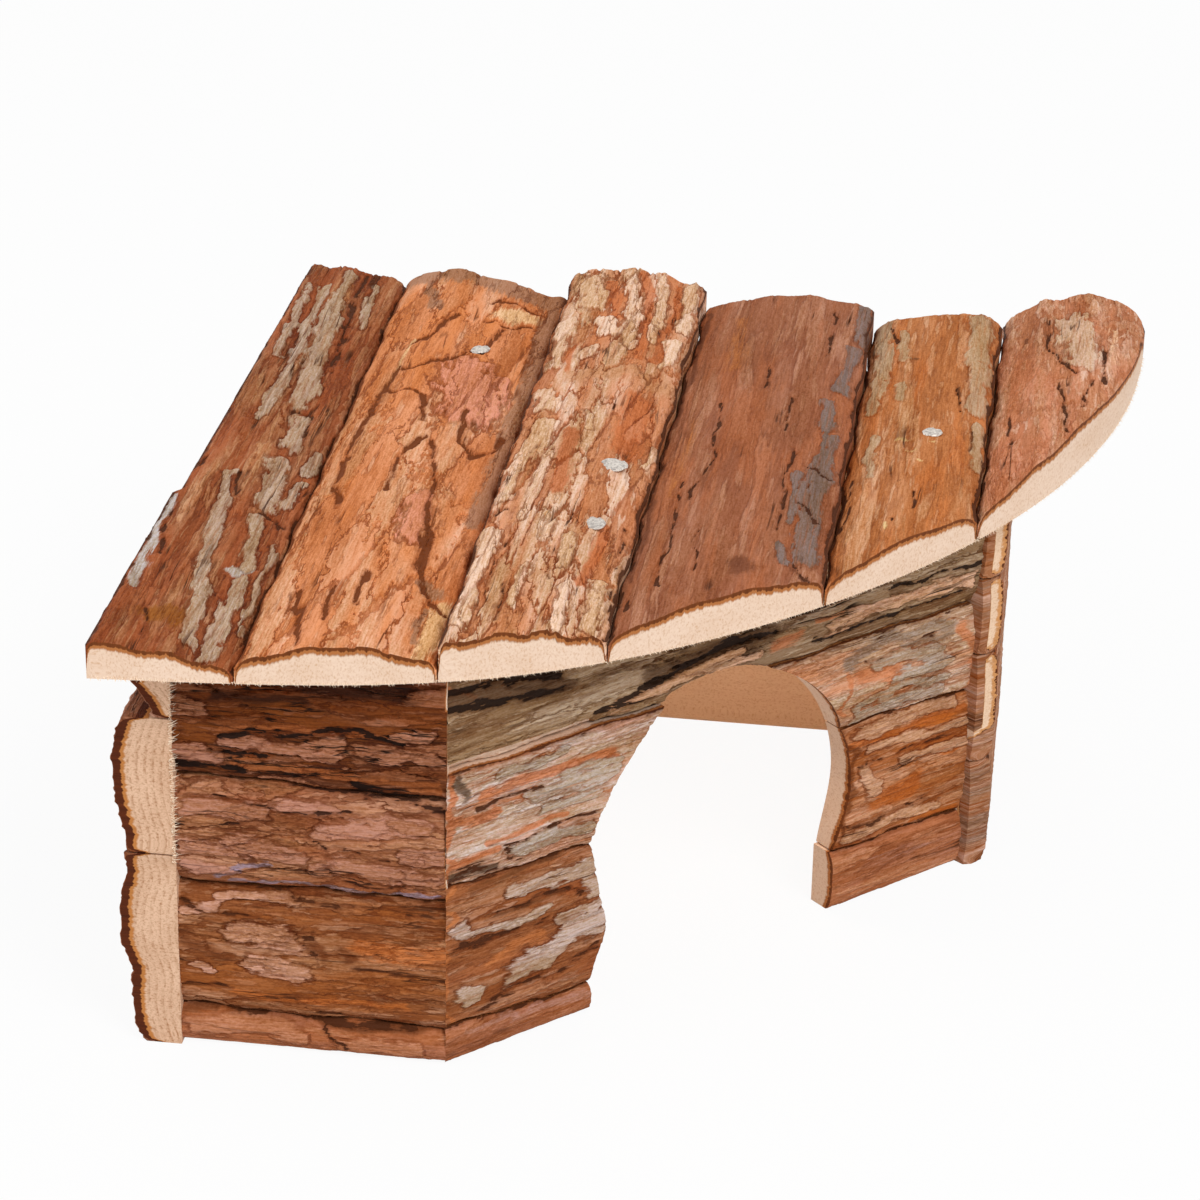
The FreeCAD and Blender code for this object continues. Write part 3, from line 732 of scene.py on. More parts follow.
class Workshop:
    """Builds the shared node groups once, and each finish's material when it is first asked for."""

    def __init__(self) -> None:
        """Build the groups."""
        self.wood = sawn_wood_group()
        self.surface = board_surface_group(bark_relief_group(TreeKind.SHADER), self.wood)
        self.shaping = bark_shaping_tree(bark_relief_group(TreeKind.GEOMETRY))
        self.splinters = splinter_tree()
        self.nails = nail_tree()
        self.made: dict[str, bpy.types.Material] = {}

    def material(self, name: str) -> tuple[Wiring, bpy.types.Node]:
        """Start a material with its shader.

        Args:
            name: the material's name.

        Returns:
            The wiring of its tree and the Principled BSDF.
        """
        material = bpy.data.materials.new(name)
        material.use_nodes = True
        self.made[name] = material
        return Wiring(material.node_tree), material.node_tree.nodes["Principled BSDF"]

    def coat(self, net: Wiring, shader: bpy.types.Node, base: Wire, roughness: Wire, height: Wire,
             strength: float, distance: float) -> None:
        """Feed a shader.

        Args:
            net, shader: the material's wiring and its Principled BSDF.
            base, roughness: the colour and the roughness.
            height: the relief, from 0 to 1.
            strength, distance: how strongly it shows, and its height in mm.
        """
        bump = net.wire("ShaderNodeBump", {"Strength": strength, "Distance": distance * MM,
                                           "Height": height})
        net.fill(shader, {"Base Color": base, "Roughness": roughness, "Normal": bump})

    def bark(self, finish: BarkFinish) -> bpy.types.Material:
        """Give the material of a bark-faced board.

        Args:
            finish: its bark.

        Returns:
            The material.
        """
        if finish.name not in self.made:
            net, shader = self.material(finish.name)
            made = net.group(self.surface, {**finish.sockets(), **net.marks()})
            shader.inputs["Specular IOR Level"].default_value = 0.12
            self.coat(net, shader, made["Color"], made["Roughness"], made["Height"], 0.8, finish.bump)
        return self.made[finish.name]

    def timber(self, name: str, axis: int) -> bpy.types.Material:
        """Give the material of a planed timber.

        Args:
            name: the material's name.
            axis: 0 or 2, the axis that the timber's grain runs along.

        Returns:
            The material.
        """
        if name not in self.made:
            net, shader = self.material(name)
            place = net.unpack(net.wire("ShaderNodeTexCoord", output="Object"))
            parts = [part * (1 / MM) for part in place]
            made = net.group(self.wood, {
                "Grain": (parts[axis], parts[1], parts[2 - axis]), "Pale": colour(238, 205, 168),
                "Dark": colour(196, 144, 98), "Ring Width": 4.2, "Rings": 0.3, "Long Grain": 0.35})
            self.coat(net, shader, made["Color"], made["Height"] * 0.2 + 0.55, made["Height"], 0.5, 0.2)
        return self.made[name]

    def fuzz(self) -> bpy.types.Material:
        """Give the material of pale saw splinters.

        Returns:
            The material.
        """
        name = "Saw splinters"
        if name not in self.made:
            net, shader = self.material(name)
            net.fill(shader, {"Base Color": colour(244, 222, 196), "Roughness": 0.7})
        return self.made[name]

    def steel(self) -> bpy.types.Material:
        """Give the dull zinc-grey material of the nails and brads.

        Returns:
            The material.
        """
        name = "Dull steel"
        if name not in self.made:
            net, shader = self.material(name)
            place = net.wire("ShaderNodeTexCoord", output="Object")
            blot = net.noise(net.scaled(place, 1400.0), 3.0, 0.6)
            base = net.blend(net.ramp(blot, 0.35, 0.7), colour(222, 214, 204), colour(164, 156, 150))
            shader.inputs["Metallic"].default_value = 0.45
            self.coat(net, shader, base, blot * 0.35 + 0.3, blot, 0.5, 0.15)
        return self.made[name]


# ---------------------------------------------------------------- marks on the bark


class Mark(Enum):
    """What a mark does to the bark: the vector it is kept in, and which part of it."""

    LIFT = ("form", 0)
    CRACK = ("form", 1)
    PEEL = ("form", 2)
    PLATE = ("stain", 0)
    STAIN_B = ("stain", 1)
    STAIN_C = ("stain", 2)


@dataclass(frozen=True)
class Stroke:
    """A mark laid along a line on a board's face.

    Attributes:
        kind: what it does.
        path: points (along the grain, across the grain) in mm.
        width: half the width at which it fades to half.
        strength: mm for a lift or a peel, 1 for a full crack, plate or stain.
    """

    kind: Mark
    path: tuple
    width: float
    strength: float = 1.0

    @property
    def is_shape(self) -> bool:
        """Say whether it raises or peels the bark. Such marks add up, and have clean outlines."""
        return self.kind in (Mark.LIFT, Mark.PEEL)

    def over(self, along: np.ndarray, across: np.ndarray) -> np.ndarray:
        """Work out the stroke's strength at each point of a face.

        Args:
            along, across: the points' grain positions in mm.

        Returns:
            The strength there.
        """
        nearest = np.full(along.shape, 1e9)
        ends = self.path if len(self.path) > 1 else (self.path[0], self.path[0])
        for (u0, v0), (u1, v1) in zip(ends, ends[1:]):
            reach = (u1 - u0) ** 2 + (v1 - v0) ** 2
            share = ((along - u0) * (u1 - u0) + (across - v0) * (v1 - v0)) / max(reach, 1e-9)
            share = np.clip(share, 0, 1)
            nearest = np.minimum(nearest, np.hypot(along - u0 - share * (u1 - u0),
                                                   across - v0 - share * (v1 - v0)))
        width = 2 * self.width + 0.2 if self.kind is Mark.CRACK else self.width
        value = np.clip(1 - 0.5 * nearest / width, 0, 1)
        if self.is_shape:
            value = value * value * (3 - 2 * value)
        return value * self.strength


def read_marks(table: str) -> dict[str, tuple[Stroke, ...]]:
    """Read a table of marks.

    Args:
        table: boards' names in square brackets, then a remark. Under them a line for each kind of
            mark, with its strength if it isn't 1: half widths and points, with a ; between strokes.
            A line that starts with a space carries on the one before.

    Returns:
        The strokes by board name.
    """
    marks: dict[str, tuple[Stroke, ...]] = {}
    boards: list[str] = []
    for line in table.strip().replace("\n ", " ").splitlines():
        if line.startswith("["):
            boards = line[1:line.index("]")].split()
            marks.update(dict.fromkeys(boards, ()))
            continue
        head, _, rows = line.partition(":")
        kind, *strength = head.split()
        for row in rows.split(";"):
            width, *path = map(float, row.split())
            stroke = Stroke(Mark[kind.upper()], tuple(zip(path[::2], path[1::2])), width,
                            *map(float, strength))
            for board in boards:
                marks[board] += (stroke,)
    return marks


def drift(along: np.ndarray, across: np.ndarray, seed: int) -> np.ndarray:
    """Read smooth random noise that changes over one unit each way.

    Args:
        along, across: where it is read.
        seed: which noise.

    Returns:
        Values between -1 and 1.
    """
    table = np.random.default_rng(seed).uniform(-1, 1, (NOISE_SIDE, NOISE_SIDE))
    cells, shares = [], []
    for place in (along, across):
        cell = np.floor(place)
        share = place - cell
        cells.append(cell.astype(int))
        shares.append(share * share * (3 - 2 * share))
    (u, v), (s, t) = cells, shares

    def corner(i: int, j: int) -> np.ndarray:
        """Read the table at one corner of the cells."""
        return table[(u + i) % NOISE_SIDE, (v + j) % NOISE_SIDE]

    return ((corner(0, 0) * (1 - s) + corner(1, 0) * s) * (1 - t)
            + (corner(0, 1) * (1 - s) + corner(1, 1) * s) * t)


def lay_marks(strokes: tuple, along: np.ndarray, across: np.ndarray) -> dict[str, np.ndarray]:
    """Lay all of a board's strokes, with outlines that wander as bark does.

    Args:
        strokes: the strokes.
        along, across: the points' grain positions in mm.

    Returns:
        The form and the stain at each point.
    """
    laid = {name: np.zeros(along.shape + (3,)) for name in ("form", "stain")}
    moved = [along, across]
    for count, (long, wide, *reach) in enumerate(WANDERS):
        for part in (0, 1):
            moved[part] = moved[part] + reach[part] * drift(along / long, across / wide, 2 * count + part)
    for stroke in strokes:
        name, part = stroke.kind.value
        if stroke.is_shape:
            laid[name][..., part] += stroke.over(along, across)
        else:
            laid[name][..., part] = np.maximum(laid[name][..., part], stroke.over(*moved))
    return laid


# ---------------------------------------------------------------- boards


def new_piece(name: str, points: np.ndarray, faces: list, **kept: np.ndarray) -> bpy.types.Object:
    """Make an object in the part's frame.

    Args:
        name: the piece's name.
        points: its points in the drawing frame, in mm.
        faces: lists of point numbers.
        kept: vectors kept at each point, by name.

    Returns:
        The new object.
    """
    mesh = bpy.data.meshes.new(name)
    mesh.from_pydata(((points + TO_PART) * MM).tolist(), [], faces)
    for label, values in kept.items():
        store = mesh.attributes.new(label, "FLOAT_VECTOR", "POINT")
        store.data.foreach_set("vector", np.asarray(values, np.float32).reshape(-1))
    piece = bpy.data.objects.new(name, mesh)
    bpy.context.collection.objects.link(piece)
    return piece


def rim_order(rows: int, columns: int) -> np.ndarray:
    """List the rim of a grid of points in one loop, as row-major indices."""
    grid = np.arange(rows * columns).reshape(rows, columns)
    return np.concatenate((grid[0], grid[1:, -1], grid[-1, -2::-1], grid[-2:0:-1, 0]))


@dataclass
class Slab:
    """A board made as one closed mesh: a fine bark face, sawn sides and a flat back.

    Attributes:
        name: the piece's name.
        place: gives the grid's points, in mm, at a depth under the bark face.
        depth: the board's depth at each grid point, in mm.
        outward: the way the bark face looks.
        grain: gives positions along and across the grain from points.
        long_edge: each grid point's distance from the nearer long edge, in mm.
        strokes: marks on the bark.
        seed: shifts the bark's pattern along the grain.
        rim_drop: how far the bark falls off at its two long edges, in mm.
        rim_width: how far that reaches in, in mm.
        rim_shade: how dark the painted shade in the seams along the long edges is, 0 to 1.
        rim_cover: how far down its long sides the bark reaches, in mm.
        shade_depth: depth in mm at which that darkness has mostly gone.
    """

    name: str
    place: Callable[[np.ndarray], np.ndarray]
    depth: np.ndarray
    outward: np.ndarray
    grain: Callable[[np.ndarray], tuple[np.ndarray, np.ndarray]]
    long_edge: np.ndarray
    strokes: tuple
    seed: float
    rim_drop: float = 0.35
    rim_width: float = 1.3
    rim_shade: float = 0.8
    rim_cover: float = 0.0
    shade_depth: float = 2.0

    def build(self) -> bpy.types.Object:
        """Make the closed mesh with its grain, form and stain kept at every point.

        Returns:
            The new object.
        """
        rows, columns = self.depth.shape
        rim = rim_order(rows, columns)
        points = [self.place(np.zeros_like(self.depth)).reshape(-1, 3)]
        depths = [np.zeros(rows * columns)]
        to_edge = [self.long_edge.reshape(-1)]
        for deepest, share in RINGS:
            deep = np.minimum(deepest, self.depth * share)
            points.append(self.place(deep).reshape(-1, 3)[rim])
            depths.append(deep.reshape(-1)[rim])
            to_edge.append(to_edge[0][rim])
        where, deep = np.concatenate(points), np.concatenate(depths)
        along, across = self.grain(where)
        marks = lay_marks(self.strokes, along, across)
        # worn falls off from the long edges: it lowers the bark there, sets the painted seam shade and
        # wraps the bark down the sides.
        worn = np.exp(-np.concatenate(to_edge) / self.rim_width)
        # Painted shade along the seams between boards, strongest at the bark face.
        shade = self.rim_shade * worn * np.exp(-deep / self.shade_depth)
        form = marks["form"]
        form[:, 0] -= self.rim_drop * worn
        form[:, 1] = np.maximum(form[:, 1], shade)
        form[:, 2] -= self.rim_cover * worn ** 4
        grain = np.stack((along + self.seed, across + deep * worn, deep), axis=1)
        return self._mesh(where, self._quads(rows, columns, rim), grain=grain, **marks)

    def _quads(self, rows: int, columns: int, rim: np.ndarray) -> list:
        """List the faces: the bark grid first, then the sides, then the back.

        Args:
            rows, columns: size of the bark grid.
            rim: its rim in one loop.

        Returns:
            Lists of point numbers.
        """
        grid = np.arange(rows * columns).reshape(rows, columns)
        top = np.stack((grid[:-1, :-1], grid[:-1, 1:], grid[1:, 1:], grid[1:, :-1]), axis=-1)
        faces = top.reshape(-1, 4).tolist()
        count = len(rim)
        ring = rim
        for number in range(len(RINGS)):
            lower = rows * columns + number * count + np.arange(count)
            side = np.stack((ring, lower, np.roll(lower, -1), np.roll(ring, -1)), axis=-1)
            faces += side.tolist()
            ring = lower
        first = ring[:columns]
        right = ring[columns - 1:columns + rows - 1]
        left = np.concatenate((ring[:1], ring[::-1][:rows - 1]))
        last = ring[columns + rows - 2:2 * columns + rows - 2]
        faces.append([left[1]] + [right[1]] + first[::-1].tolist())
        for i in range(1, rows - 2):
            faces.append([left[i], left[i + 1], right[i + 1], right[i]])
        faces.append([right[-2], left[-2]] + last[::-1].tolist())
        return faces

    def _mesh(self, where: np.ndarray, faces: list, **kept: np.ndarray) -> bpy.types.Object:
        """Make an object that faces outwards, with smooth bark and sharp sawn faces.

        Args:
            where: its points in the drawing frame, in mm.
            faces: lists of point numbers.
            kept: vectors kept at each point, by name.

        Returns:
            The new object.
        """
        rows, columns = self.depth.shape
        middle = faces[(rows // 2) * (columns - 1) + columns // 2]
        a, b, c = (where[middle[i]] for i in range(3))
        if np.dot(np.cross(b - a, c - a), self.outward) < 0:
            faces = [one[::-1] for one in faces]
        piece = new_piece(self.name, where, faces, **kept)
        sawn = np.arange(len(faces)) >= (rows - 1) * (columns - 1)
        piece.data.attributes.new("sharp_face", "BOOLEAN", "FACE").data.foreach_set("value", sawn)
        return piece


def hand_over(piece: bpy.types.Object, node: str | None = None) -> None:
    """Give a finished piece its body.

    Args:
        piece: the piece.
        node: the plain solid that it stands for, if any.
    """
    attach(piece, BODY)
    if node:
        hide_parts(node)
    LOG.info("%s: %d faces", piece.name, len(piece.data.polygons))


def dress_board(shop: Workshop, slab: Slab, finish: BarkFinish, node: str) -> None:
    """Build a board, shape its bark and put it in the place of its plain solid.

    Args:
        shop: the shared groups and materials.
        slab: the board's shape.
        finish: its bark.
        node: the plain solid that it stands for.
    """
    piece = slab.build()
    apply_tree(piece, shop.shaping, {
        **finish.growth.sockets(), "Outward": tuple(map(float, slab.outward)), "Sawn Fade": SAWN_FADE,
        "Finish": shop.bark(finish)})
    hand_over(piece, node)


def house_points(x: np.ndarray, y: np.ndarray, z: np.ndarray) -> np.ndarray:
    """Stack coordinates into points."""
    return np.stack(np.broadcast_arrays(np.asarray(x, float), y, z), axis=-1)


def seam_wave(run: np.ndarray, phase: float) -> np.ndarray:
    """Let a seam between two boards wander, in mm. A phase of 0 keeps it straight."""
    if not phase:
        return 0 * run
    return sum(height * np.sin(run / length + shift * phase) for height, length, shift in SEAM_WAVES)


# ---------------------------------------------------------------- roof


@dataclass(frozen=True)
class PlankShape:
    """Plan and crown of one roof plank.

    Attributes:
        left, right: (distance back, x) points of its two edges.
        back: how far back it reaches.
        front_crown, back_crown: thickness in mm at equal steps across it, at its two ends.
        front_furrows, back_furrows: shares of its width at which furrows run, at its two ends.
        furrow_depth: their depth in mm.
    """

    left: tuple
    right: tuple
    back: float
    front_crown: tuple
    back_crown: tuple
    front_furrows: tuple
    back_furrows: tuple
    furrow_depth: float

    def section(self, crown: tuple, furrows: tuple) -> tuple[np.ndarray, np.ndarray]:
        """Shape one end of the plank.

        Args:
            crown, furrows: the thicknesses and furrows at that end.

        Returns:
            Shares of the width, and thicknesses, at its edges, furrows and crests.
        """
        lows = np.array((0.0, *furrows, 1.0))
        shares = np.sort(np.concatenate((lows, (lows[:-1] + lows[1:]) / 2)))
        heights = spline(np.linspace(0, 1, len(crown)), crown, shares)
        return shares, heights - np.isin(shares, furrows) * self.furrow_depth


PLANK_SHAPES = (
    PlankShape(
        ((-13, -2.0), (60.5, -1.8), (63.0, -0.4), (200, 0.6)), ((-13, 27.09), (200, 23.99)), 198.0,
        (8.6, 8.1, 7.6, 6.6, 4.9, 2.9), (8.2, 8.2, 8.0, 7.4, 6.3, 4.3), (0.42, 0.74), (0.18, 0.62),
        0.7),
    PlankShape(
        ((-13, 27.49), (200, 24.39)), ((-13, 66.69), (200, 64.99)), 195.5,
        (4.6, 7.4, 8.9, 8.8, 7.2, 4.3), (5.4, 9.8, 9.9, 8.2, 6.2, 4.3), (0.22, 0.5, 0.83),
        (0.21, 0.5, 0.87), 0.7),
    PlankShape(
        ((-13, 67.09), (200, 65.39)), ((-13, 98.18), (200, 98.18)), 199.0,
        (8.6, 9.4, 9.9, 9.4, 7.6, 4.8), (9.2, 11.2, 12.0, 11.7, 10.2, 7.8), (0.16, 0.51, 0.78),
        (0.35, 0.58, 0.81), 0.8),
    PlankShape(
        ((-13, 98.58), (200, 98.58)), ((-13, 139.18), (200, 139.18)), 194.0,
        (5.0, 7.9, 9.4, 9.6, 8.4, 5.2), (4.8, 7.6, 9.5, 10.1, 9.3, 7.7), (0.24, 0.55, 0.75),
        (0.28, 0.5, 0.74), 0.4),
    PlankShape(
        ((-13, 139.58), (200, 139.58)), ((-13, 168.3), (200, 170.0)), 192.0,
        (4.8, 7.7, 9.2, 9.4, 8.2, 5.2), (2.9, 6.8, 7.8, 8.6, 9.2, 6.5), (0.22, 0.8), (0.27, 0.74), 0.6),
    PlankShape(
        ((-13, 168.7), (200, 170.4)), ((-13, 204.0), (200, 204.0)), 200.0,
        (5.4, 7.7, 9.2, 9.4, 8.3, 6.4), (3.6, 9.4, 11.6, 12.9, 11.9, 7.7), (0.2, 0.5, 0.8),
        (0.2, 0.36, 0.76), 0.6))


@dataclass
class Roof:
    """Six bark planks, all sawn in one curve along the front.

    Attributes:
        shop: the shared groups and materials.
        finishes: the planks' barks, from the left.
        marks: marks by plank name.
        front_line: y of the foremost point.
        front_curve: points along the sawn front edge, from the left corner to the tip.
        tip_radius: rounding of the last plank's back corner.
        pitch: spacing of the fine grid of points, in mm.
        closer: how far each plank reaches into the open seam beside it, in mm.
        shapes: the planks' shapes, from the left.
        seed_step: how far the next plank's bark pattern is shifted.
        curve_points: number of points along the sawn edge.
    """

    shop: Workshop
    finishes: tuple
    marks: dict
    front_line: float = -13.0
    front_curve: tuple = ((-2.0, -13.0), (24.65, -10.68), (51.26, -6.85), (76.85, 0.59), (100.71, 12.82),
                          (122.59, 28.86), (142.31, 47.57), (159.67, 68.2), (174.48, 90.56),
                          (186.52, 114.51), (195.59, 139.84), (201.48, 166.14), (204.0, 193.0))
    tip_radius: float = 7.0
    pitch: float = 0.5
    closer: float = 0.04
    shapes: tuple = PLANK_SHAPES
    seed_step: float = 400.0
    curve_points: int = 1200

    @staticmethod
    def edge(ends: tuple, y: np.ndarray, phase: float = 0.0) -> np.ndarray:
        """Give x of a plank's edge at given distances back."""
        return np.interp(y, *np.array(ends).T) + seam_wave(y, phase)

    def sides(self, number: int, y: np.ndarray) -> tuple[np.ndarray, np.ndarray]:
        """Find a plank's two edges. Planks that meet share the way their seam wanders.

        Args:
            number: the plank.
            y: distances back.

        Returns:
            x of its left and its right edge.
        """
        shape = self.shapes[number - 1]
        first, last = number == 1, number == len(self.shapes)
        return (self.edge(shape.left, y, number - 1) - (0 if first else self.closer),
                self.edge(shape.right, y, 0.0 if last else number) + (0 if last else self.closer))

    def sawn_curve(self) -> np.ndarray:
        """Give close points along the sawn front edge."""
        points = np.array(self.front_curve)
        run = np.concatenate(((0,), np.cumsum(np.hypot(*np.diff(points, axis=0).T))))
        return spline(run, points, np.linspace(0, run[-1], self.curve_points))

    def plan(self, number: int) -> tuple[np.ndarray, np.ndarray]:
        """Lay a plank's grid of points in plan.

        Args:
            number: the plank. The last is laid in rows, because the curve sweeps past its end.

        Returns:
            x and y of the grid, rows along the plank and columns across it.
        """
        shape = self.shapes[number - 1]
        curve = self.sawn_curve()
        if number == len(self.shapes):
            y = np.arange(curve[0, 1], shape.back + self.pitch / 2, self.pitch)
            left, right = self.sides(number, y)
            centre = (right[0] - self.tip_radius, shape.back - self.tip_radius)
            reach = np.interp(y, curve[:, 1], curve[:, 0])
            behind = np.clip(y - centre[1], 0, None)
            rounding = np.sqrt(np.clip(self.tip_radius ** 2 - behind ** 2, 0, None))
            reach = np.where(y > centre[1], centre[0] + rounding, reach)
            kept = reach > left + self.pitch
            y, reach, left = y[kept], reach[kept], left[kept]
            columns = round((reach - left).max() / self.pitch) + 1
            share = np.linspace(0, 1, columns)
            x = left[:, None] + (reach - left)[:, None] * share
            return x, np.repeat(y[:, None], columns, axis=1)
        columns = round((shape.right[0][1] - shape.left[0][1]) / self.pitch) + 1
        share = np.linspace(0, 1, columns)
        start = np.full(columns, self.front_line)
        for _ in range(4):
            left, right = self.sides(number, start)
            start = np.interp(left * (1 - share) + right * share, curve[:, 0], curve[:, 1])
        rows = round((shape.back - start.min()) / self.pitch) + 1
        y = start + (shape.back - start) * np.linspace(0, 1, rows)[:, None]
        left, right = self.sides(number, y)
        return left * (1 - share) + right * share, y

    def thickness(self, number: int, x: np.ndarray, y: np.ndarray) -> np.ndarray:
        """Give a plank's thickness.

        Args:
            number: the plank.
            x, y: points in plan.

        Returns:
            The thickness there, in mm.
        """
        shape = self.shapes[number - 1]
        left, right = (self.edge(ends, y) for ends in (shape.left, shape.right))
        share = np.clip((x - left) / (right - left), 0, 1)
        back = np.clip((y - self.front_line) / (shape.back - self.front_line), 0, 1)
        front, rear = (shape.section(shape.front_crown, shape.front_furrows),
                       shape.section(shape.back_crown, shape.back_furrows))
        knots = front[0] + (rear[0] - front[0]) * back[..., None]
        reach = np.clip((share[..., None] - knots[..., :-1]) / np.diff(knots), 0, 1).sum(axis=-1)
        low, high = (spline(np.arange(len(heights)), heights, reach.reshape(-1)).reshape(share.shape)
                     for _, heights in (front, rear))
        return low * (1 - back) + high * back

    def plank(self, number: int) -> Slab:
        """Shape one plank.

        Args:
            number: which one, counted from the left and from 1.

        Returns:
            Its shape.
        """
        x, y = self.plan(number)
        left, right = self.sides(number, y)
        thickness = self.thickness(number, x, y)

        def place(depth: np.ndarray) -> np.ndarray:
            """Give the points at a depth under the bark."""
            return house_points(x, y, WALL_HEIGHT + thickness - depth)

        def grain(points: np.ndarray) -> tuple[np.ndarray, np.ndarray]:
            """The grain runs back along y."""
            return points[:, 1], points[:, 0]

        return Slab("plank_%d" % number, place, thickness, np.array((0.0, 0.0, 1.0)), grain,
                    np.minimum(x - left, right - x), self.marks["roof_plank_%d" % number],
                    self.seed_step * number, rim_shade=1.1, rim_cover=5.0)

    def build(self) -> None:
        """Build and dress the planks."""
        for number in range(1, len(self.shapes) + 1):
            dress_board(self.shop, self.plank(number), self.finishes[number - 1],
                        "roof_plank_%d" % number)


# ---------------------------------------------------------------- walls


@dataclass(frozen=True)
class WallLine:
    """Where a wall stands, and how its boards end at the joints.

    Attributes:
        corner, along, outward: plan position of its first outer corner, its run and its outside.
        thickness: flat inner face to nominal bark face.
        first, last: (distance out from the bark face, distance along) of the two ends' cuts.
    """

    corner: tuple
    along: tuple
    outward: tuple
    thickness: float
    first: tuple
    last: tuple

    def points(self, run: np.ndarray, out: np.ndarray, height: np.ndarray) -> np.ndarray:
        """Give points from distances along, out and up."""
        x = self.corner[0] + self.along[0] * run + self.outward[0] * out
        y = self.corner[1] + self.along[1] * run + self.outward[1] * out
        return house_points(x, y, height)

    @staticmethod
    def cut(ends: tuple, out: np.ndarray) -> np.ndarray:
        """Read how far along an end's cut lies at a distance out."""
        outs, runs = np.array(sorted(ends)).T
        return np.interp(out, outs, runs)


LEFT_WALL = WallLine((0, 0), (0, 1), (-1, 0), 11.6, ((0, 0),), ((0, WALL_SPAN),))
FRONT_WALL = WallLine((0, 0), (1, 0), (0, -1), 11.6, ((0, 11.6),), ((0, CORNER_X), (-11.6, 67.3)))
SLANT_WALL = WallLine((CORNER_X, 0), (DIAGONAL, DIAGONAL), (DIAGONAL, -DIAGONAL), 8.7,
                      ((0, 0), (-8.7, 7.7)), ((0, 146.1), (-8.7, 145.0)))
RIGHT_WALL = WallLine((WALL_SPAN, 108), (0, 1), (1, 0), 11.6, ((0, -0.6), (-4.35, -4.9), (-11.6, 0.7)),
                      ((0, CORNER_X),))
BACK_WALL = WallLine((0, WALL_SPAN), (1, 0), (0, 1), 11.6, ((0, 11.6),), ((0, WALL_SPAN - 11.6),))

Edge = Callable[[np.ndarray], np.ndarray]


@dataclass
class WallBoard:
    """One board of a wall.

    Attributes:
        node: the plain solid that it stands for.
        wall: where it stands.
        low, high: heights of its edges at the wall's two ends.
        finish: its bark.
        bark: how far the bark falls back at the foot, stands out in the middle, falls back at the top.
        profile: (height, distance out) points that are used instead, if given.
        door_left, door_right: the doorway's side as distance along by height, if it ends there.
        arch: the doorway's top as height by distance along, if it cuts the board's foot.
        waves: phases in which its foot's and its top's seams wander, 0 for a straight one.
        strokes: marks on its bark.
        seed: shifts the bark's pattern.
        pitch: spacing of its points, in mm.
        length: the length of the wall between the ends at which low and high are given.
        roundness: power with which the bark falls back towards foot and top.
    """

    node: str
    wall: WallLine
    low: tuple
    high: tuple
    finish: BarkFinish
    bark: tuple = (2.2, 0.0, 2.2)
    profile: tuple = ()
    door_left: Edge | None = None
    door_right: Edge | None = None
    arch: Edge | None = None
    waves: tuple = (0.0, 0.0)
    strokes: tuple = ()
    seed: float = 0.0
    pitch: float = 0.5
    length: float = WALL_SPAN
    roundness: float = 2.6

    def lay(self, out: np.ndarray, part: np.ndarray, share: np.ndarray) -> tuple[np.ndarray, np.ndarray]:
        """Find distance along and height of the board's grid at a distance out.

        Args:
            out: distance out from the nominal bark face.
            part, share: parts of the board's length and of its height, 0 to 1.

        Returns:
            Distances along and heights.
        """
        height = (self.low[0] + self.high[0]) / 2 + 0 * part
        for _ in range(5):
            start = self.door_right(height) if self.door_right else self.wall.cut(self.wall.first, out)
            end = self.door_left(height) if self.door_left else self.wall.cut(self.wall.last, out)
            run = start + (end - start) * part
            where = run / self.length
            foot = self.low[0] + (self.low[1] - self.low[0]) * where + seam_wave(run, self.waves[0])
            if self.arch:
                foot = np.maximum(foot, self.arch(run))
            top = self.high[0] + (self.high[1] - self.high[0]) * where + seam_wave(run, self.waves[1])
            height = foot + (top - foot) * share
        return run, height

    def face(self, part: np.ndarray, share: np.ndarray) -> np.ndarray:
        """Give how far out the bark face lies.

        Args:
            part, share: parts of the board's length and of its height, 0 to 1.

        Returns:
            Distances out from the nominal bark face.
        """
        if self.profile:
            _, height = self.lay(0 * part, part, share)
            heights, outs = np.array(self.profile).T
            return spline(heights, outs, np.clip(height, heights[0], heights[-1]).reshape(-1)
                          ).reshape(height.shape)
        foot, rise, top = self.bark
        fall = np.where(share < 0.5, foot, top) + rise
        return rise - fall * np.abs(1 - 2 * share) ** self.roundness

    def slab(self) -> Slab:
        """Shape the board.

        Returns:
            Its shape.
        """
        tall = max(np.subtract(self.high, self.low))
        run, _ = self.lay(np.zeros((1, 2)), np.array([[0.0, 1.0]]), np.full((1, 2), 0.5))
        parts = np.linspace(0, 1, round(float(run[0, 1] - run[0, 0]) / self.pitch) + 1)
        shares = np.linspace(0, 1, round(tall / self.pitch) + 1)
        if self.arch:
            part, share = np.meshgrid(parts, shares, indexing="ij")
        else:
            share, part = np.meshgrid(shares, parts, indexing="ij")
        face = self.face(part, share)
        wall = self.wall

        def place(depth: np.ndarray) -> np.ndarray:
            """Give the points at a depth under the bark."""
            out = face - depth
            run, height = self.lay(out, part, share)
            return wall.points(run, out, height)

        def grain(points: np.ndarray) -> tuple[np.ndarray, np.ndarray]:
            """The grain runs along the wall."""
            return ((points[:, 0] - wall.corner[0]) * wall.along[0]
                    + (points[:, 1] - wall.corner[1]) * wall.along[1]), points[:, 2]

        outward = np.array((*wall.outward, 0.0))
        return Slab(self.node.replace("_board", ""), place, wall.thickness + face, outward, grain,
                    np.minimum(share, 1 - share) * tall, self.strokes, self.seed,
                    rim_cover=0.0 if wall is SLANT_WALL else 3.0)


def door_side(points: tuple) -> Edge:
    """Make the doorway's edge curve from given points.

    Args:
        points: (place, value), with rising places.

    Returns:
        A function from place to value.
    """
    places, values = np.array(points, float).T

    def read(wanted: np.ndarray) -> np.ndarray:
        """Read the curve."""
        inside = np.clip(wanted, places[0], places[-1])
        return spline(places, values, inside.reshape(-1)).reshape(inside.shape)

    return read


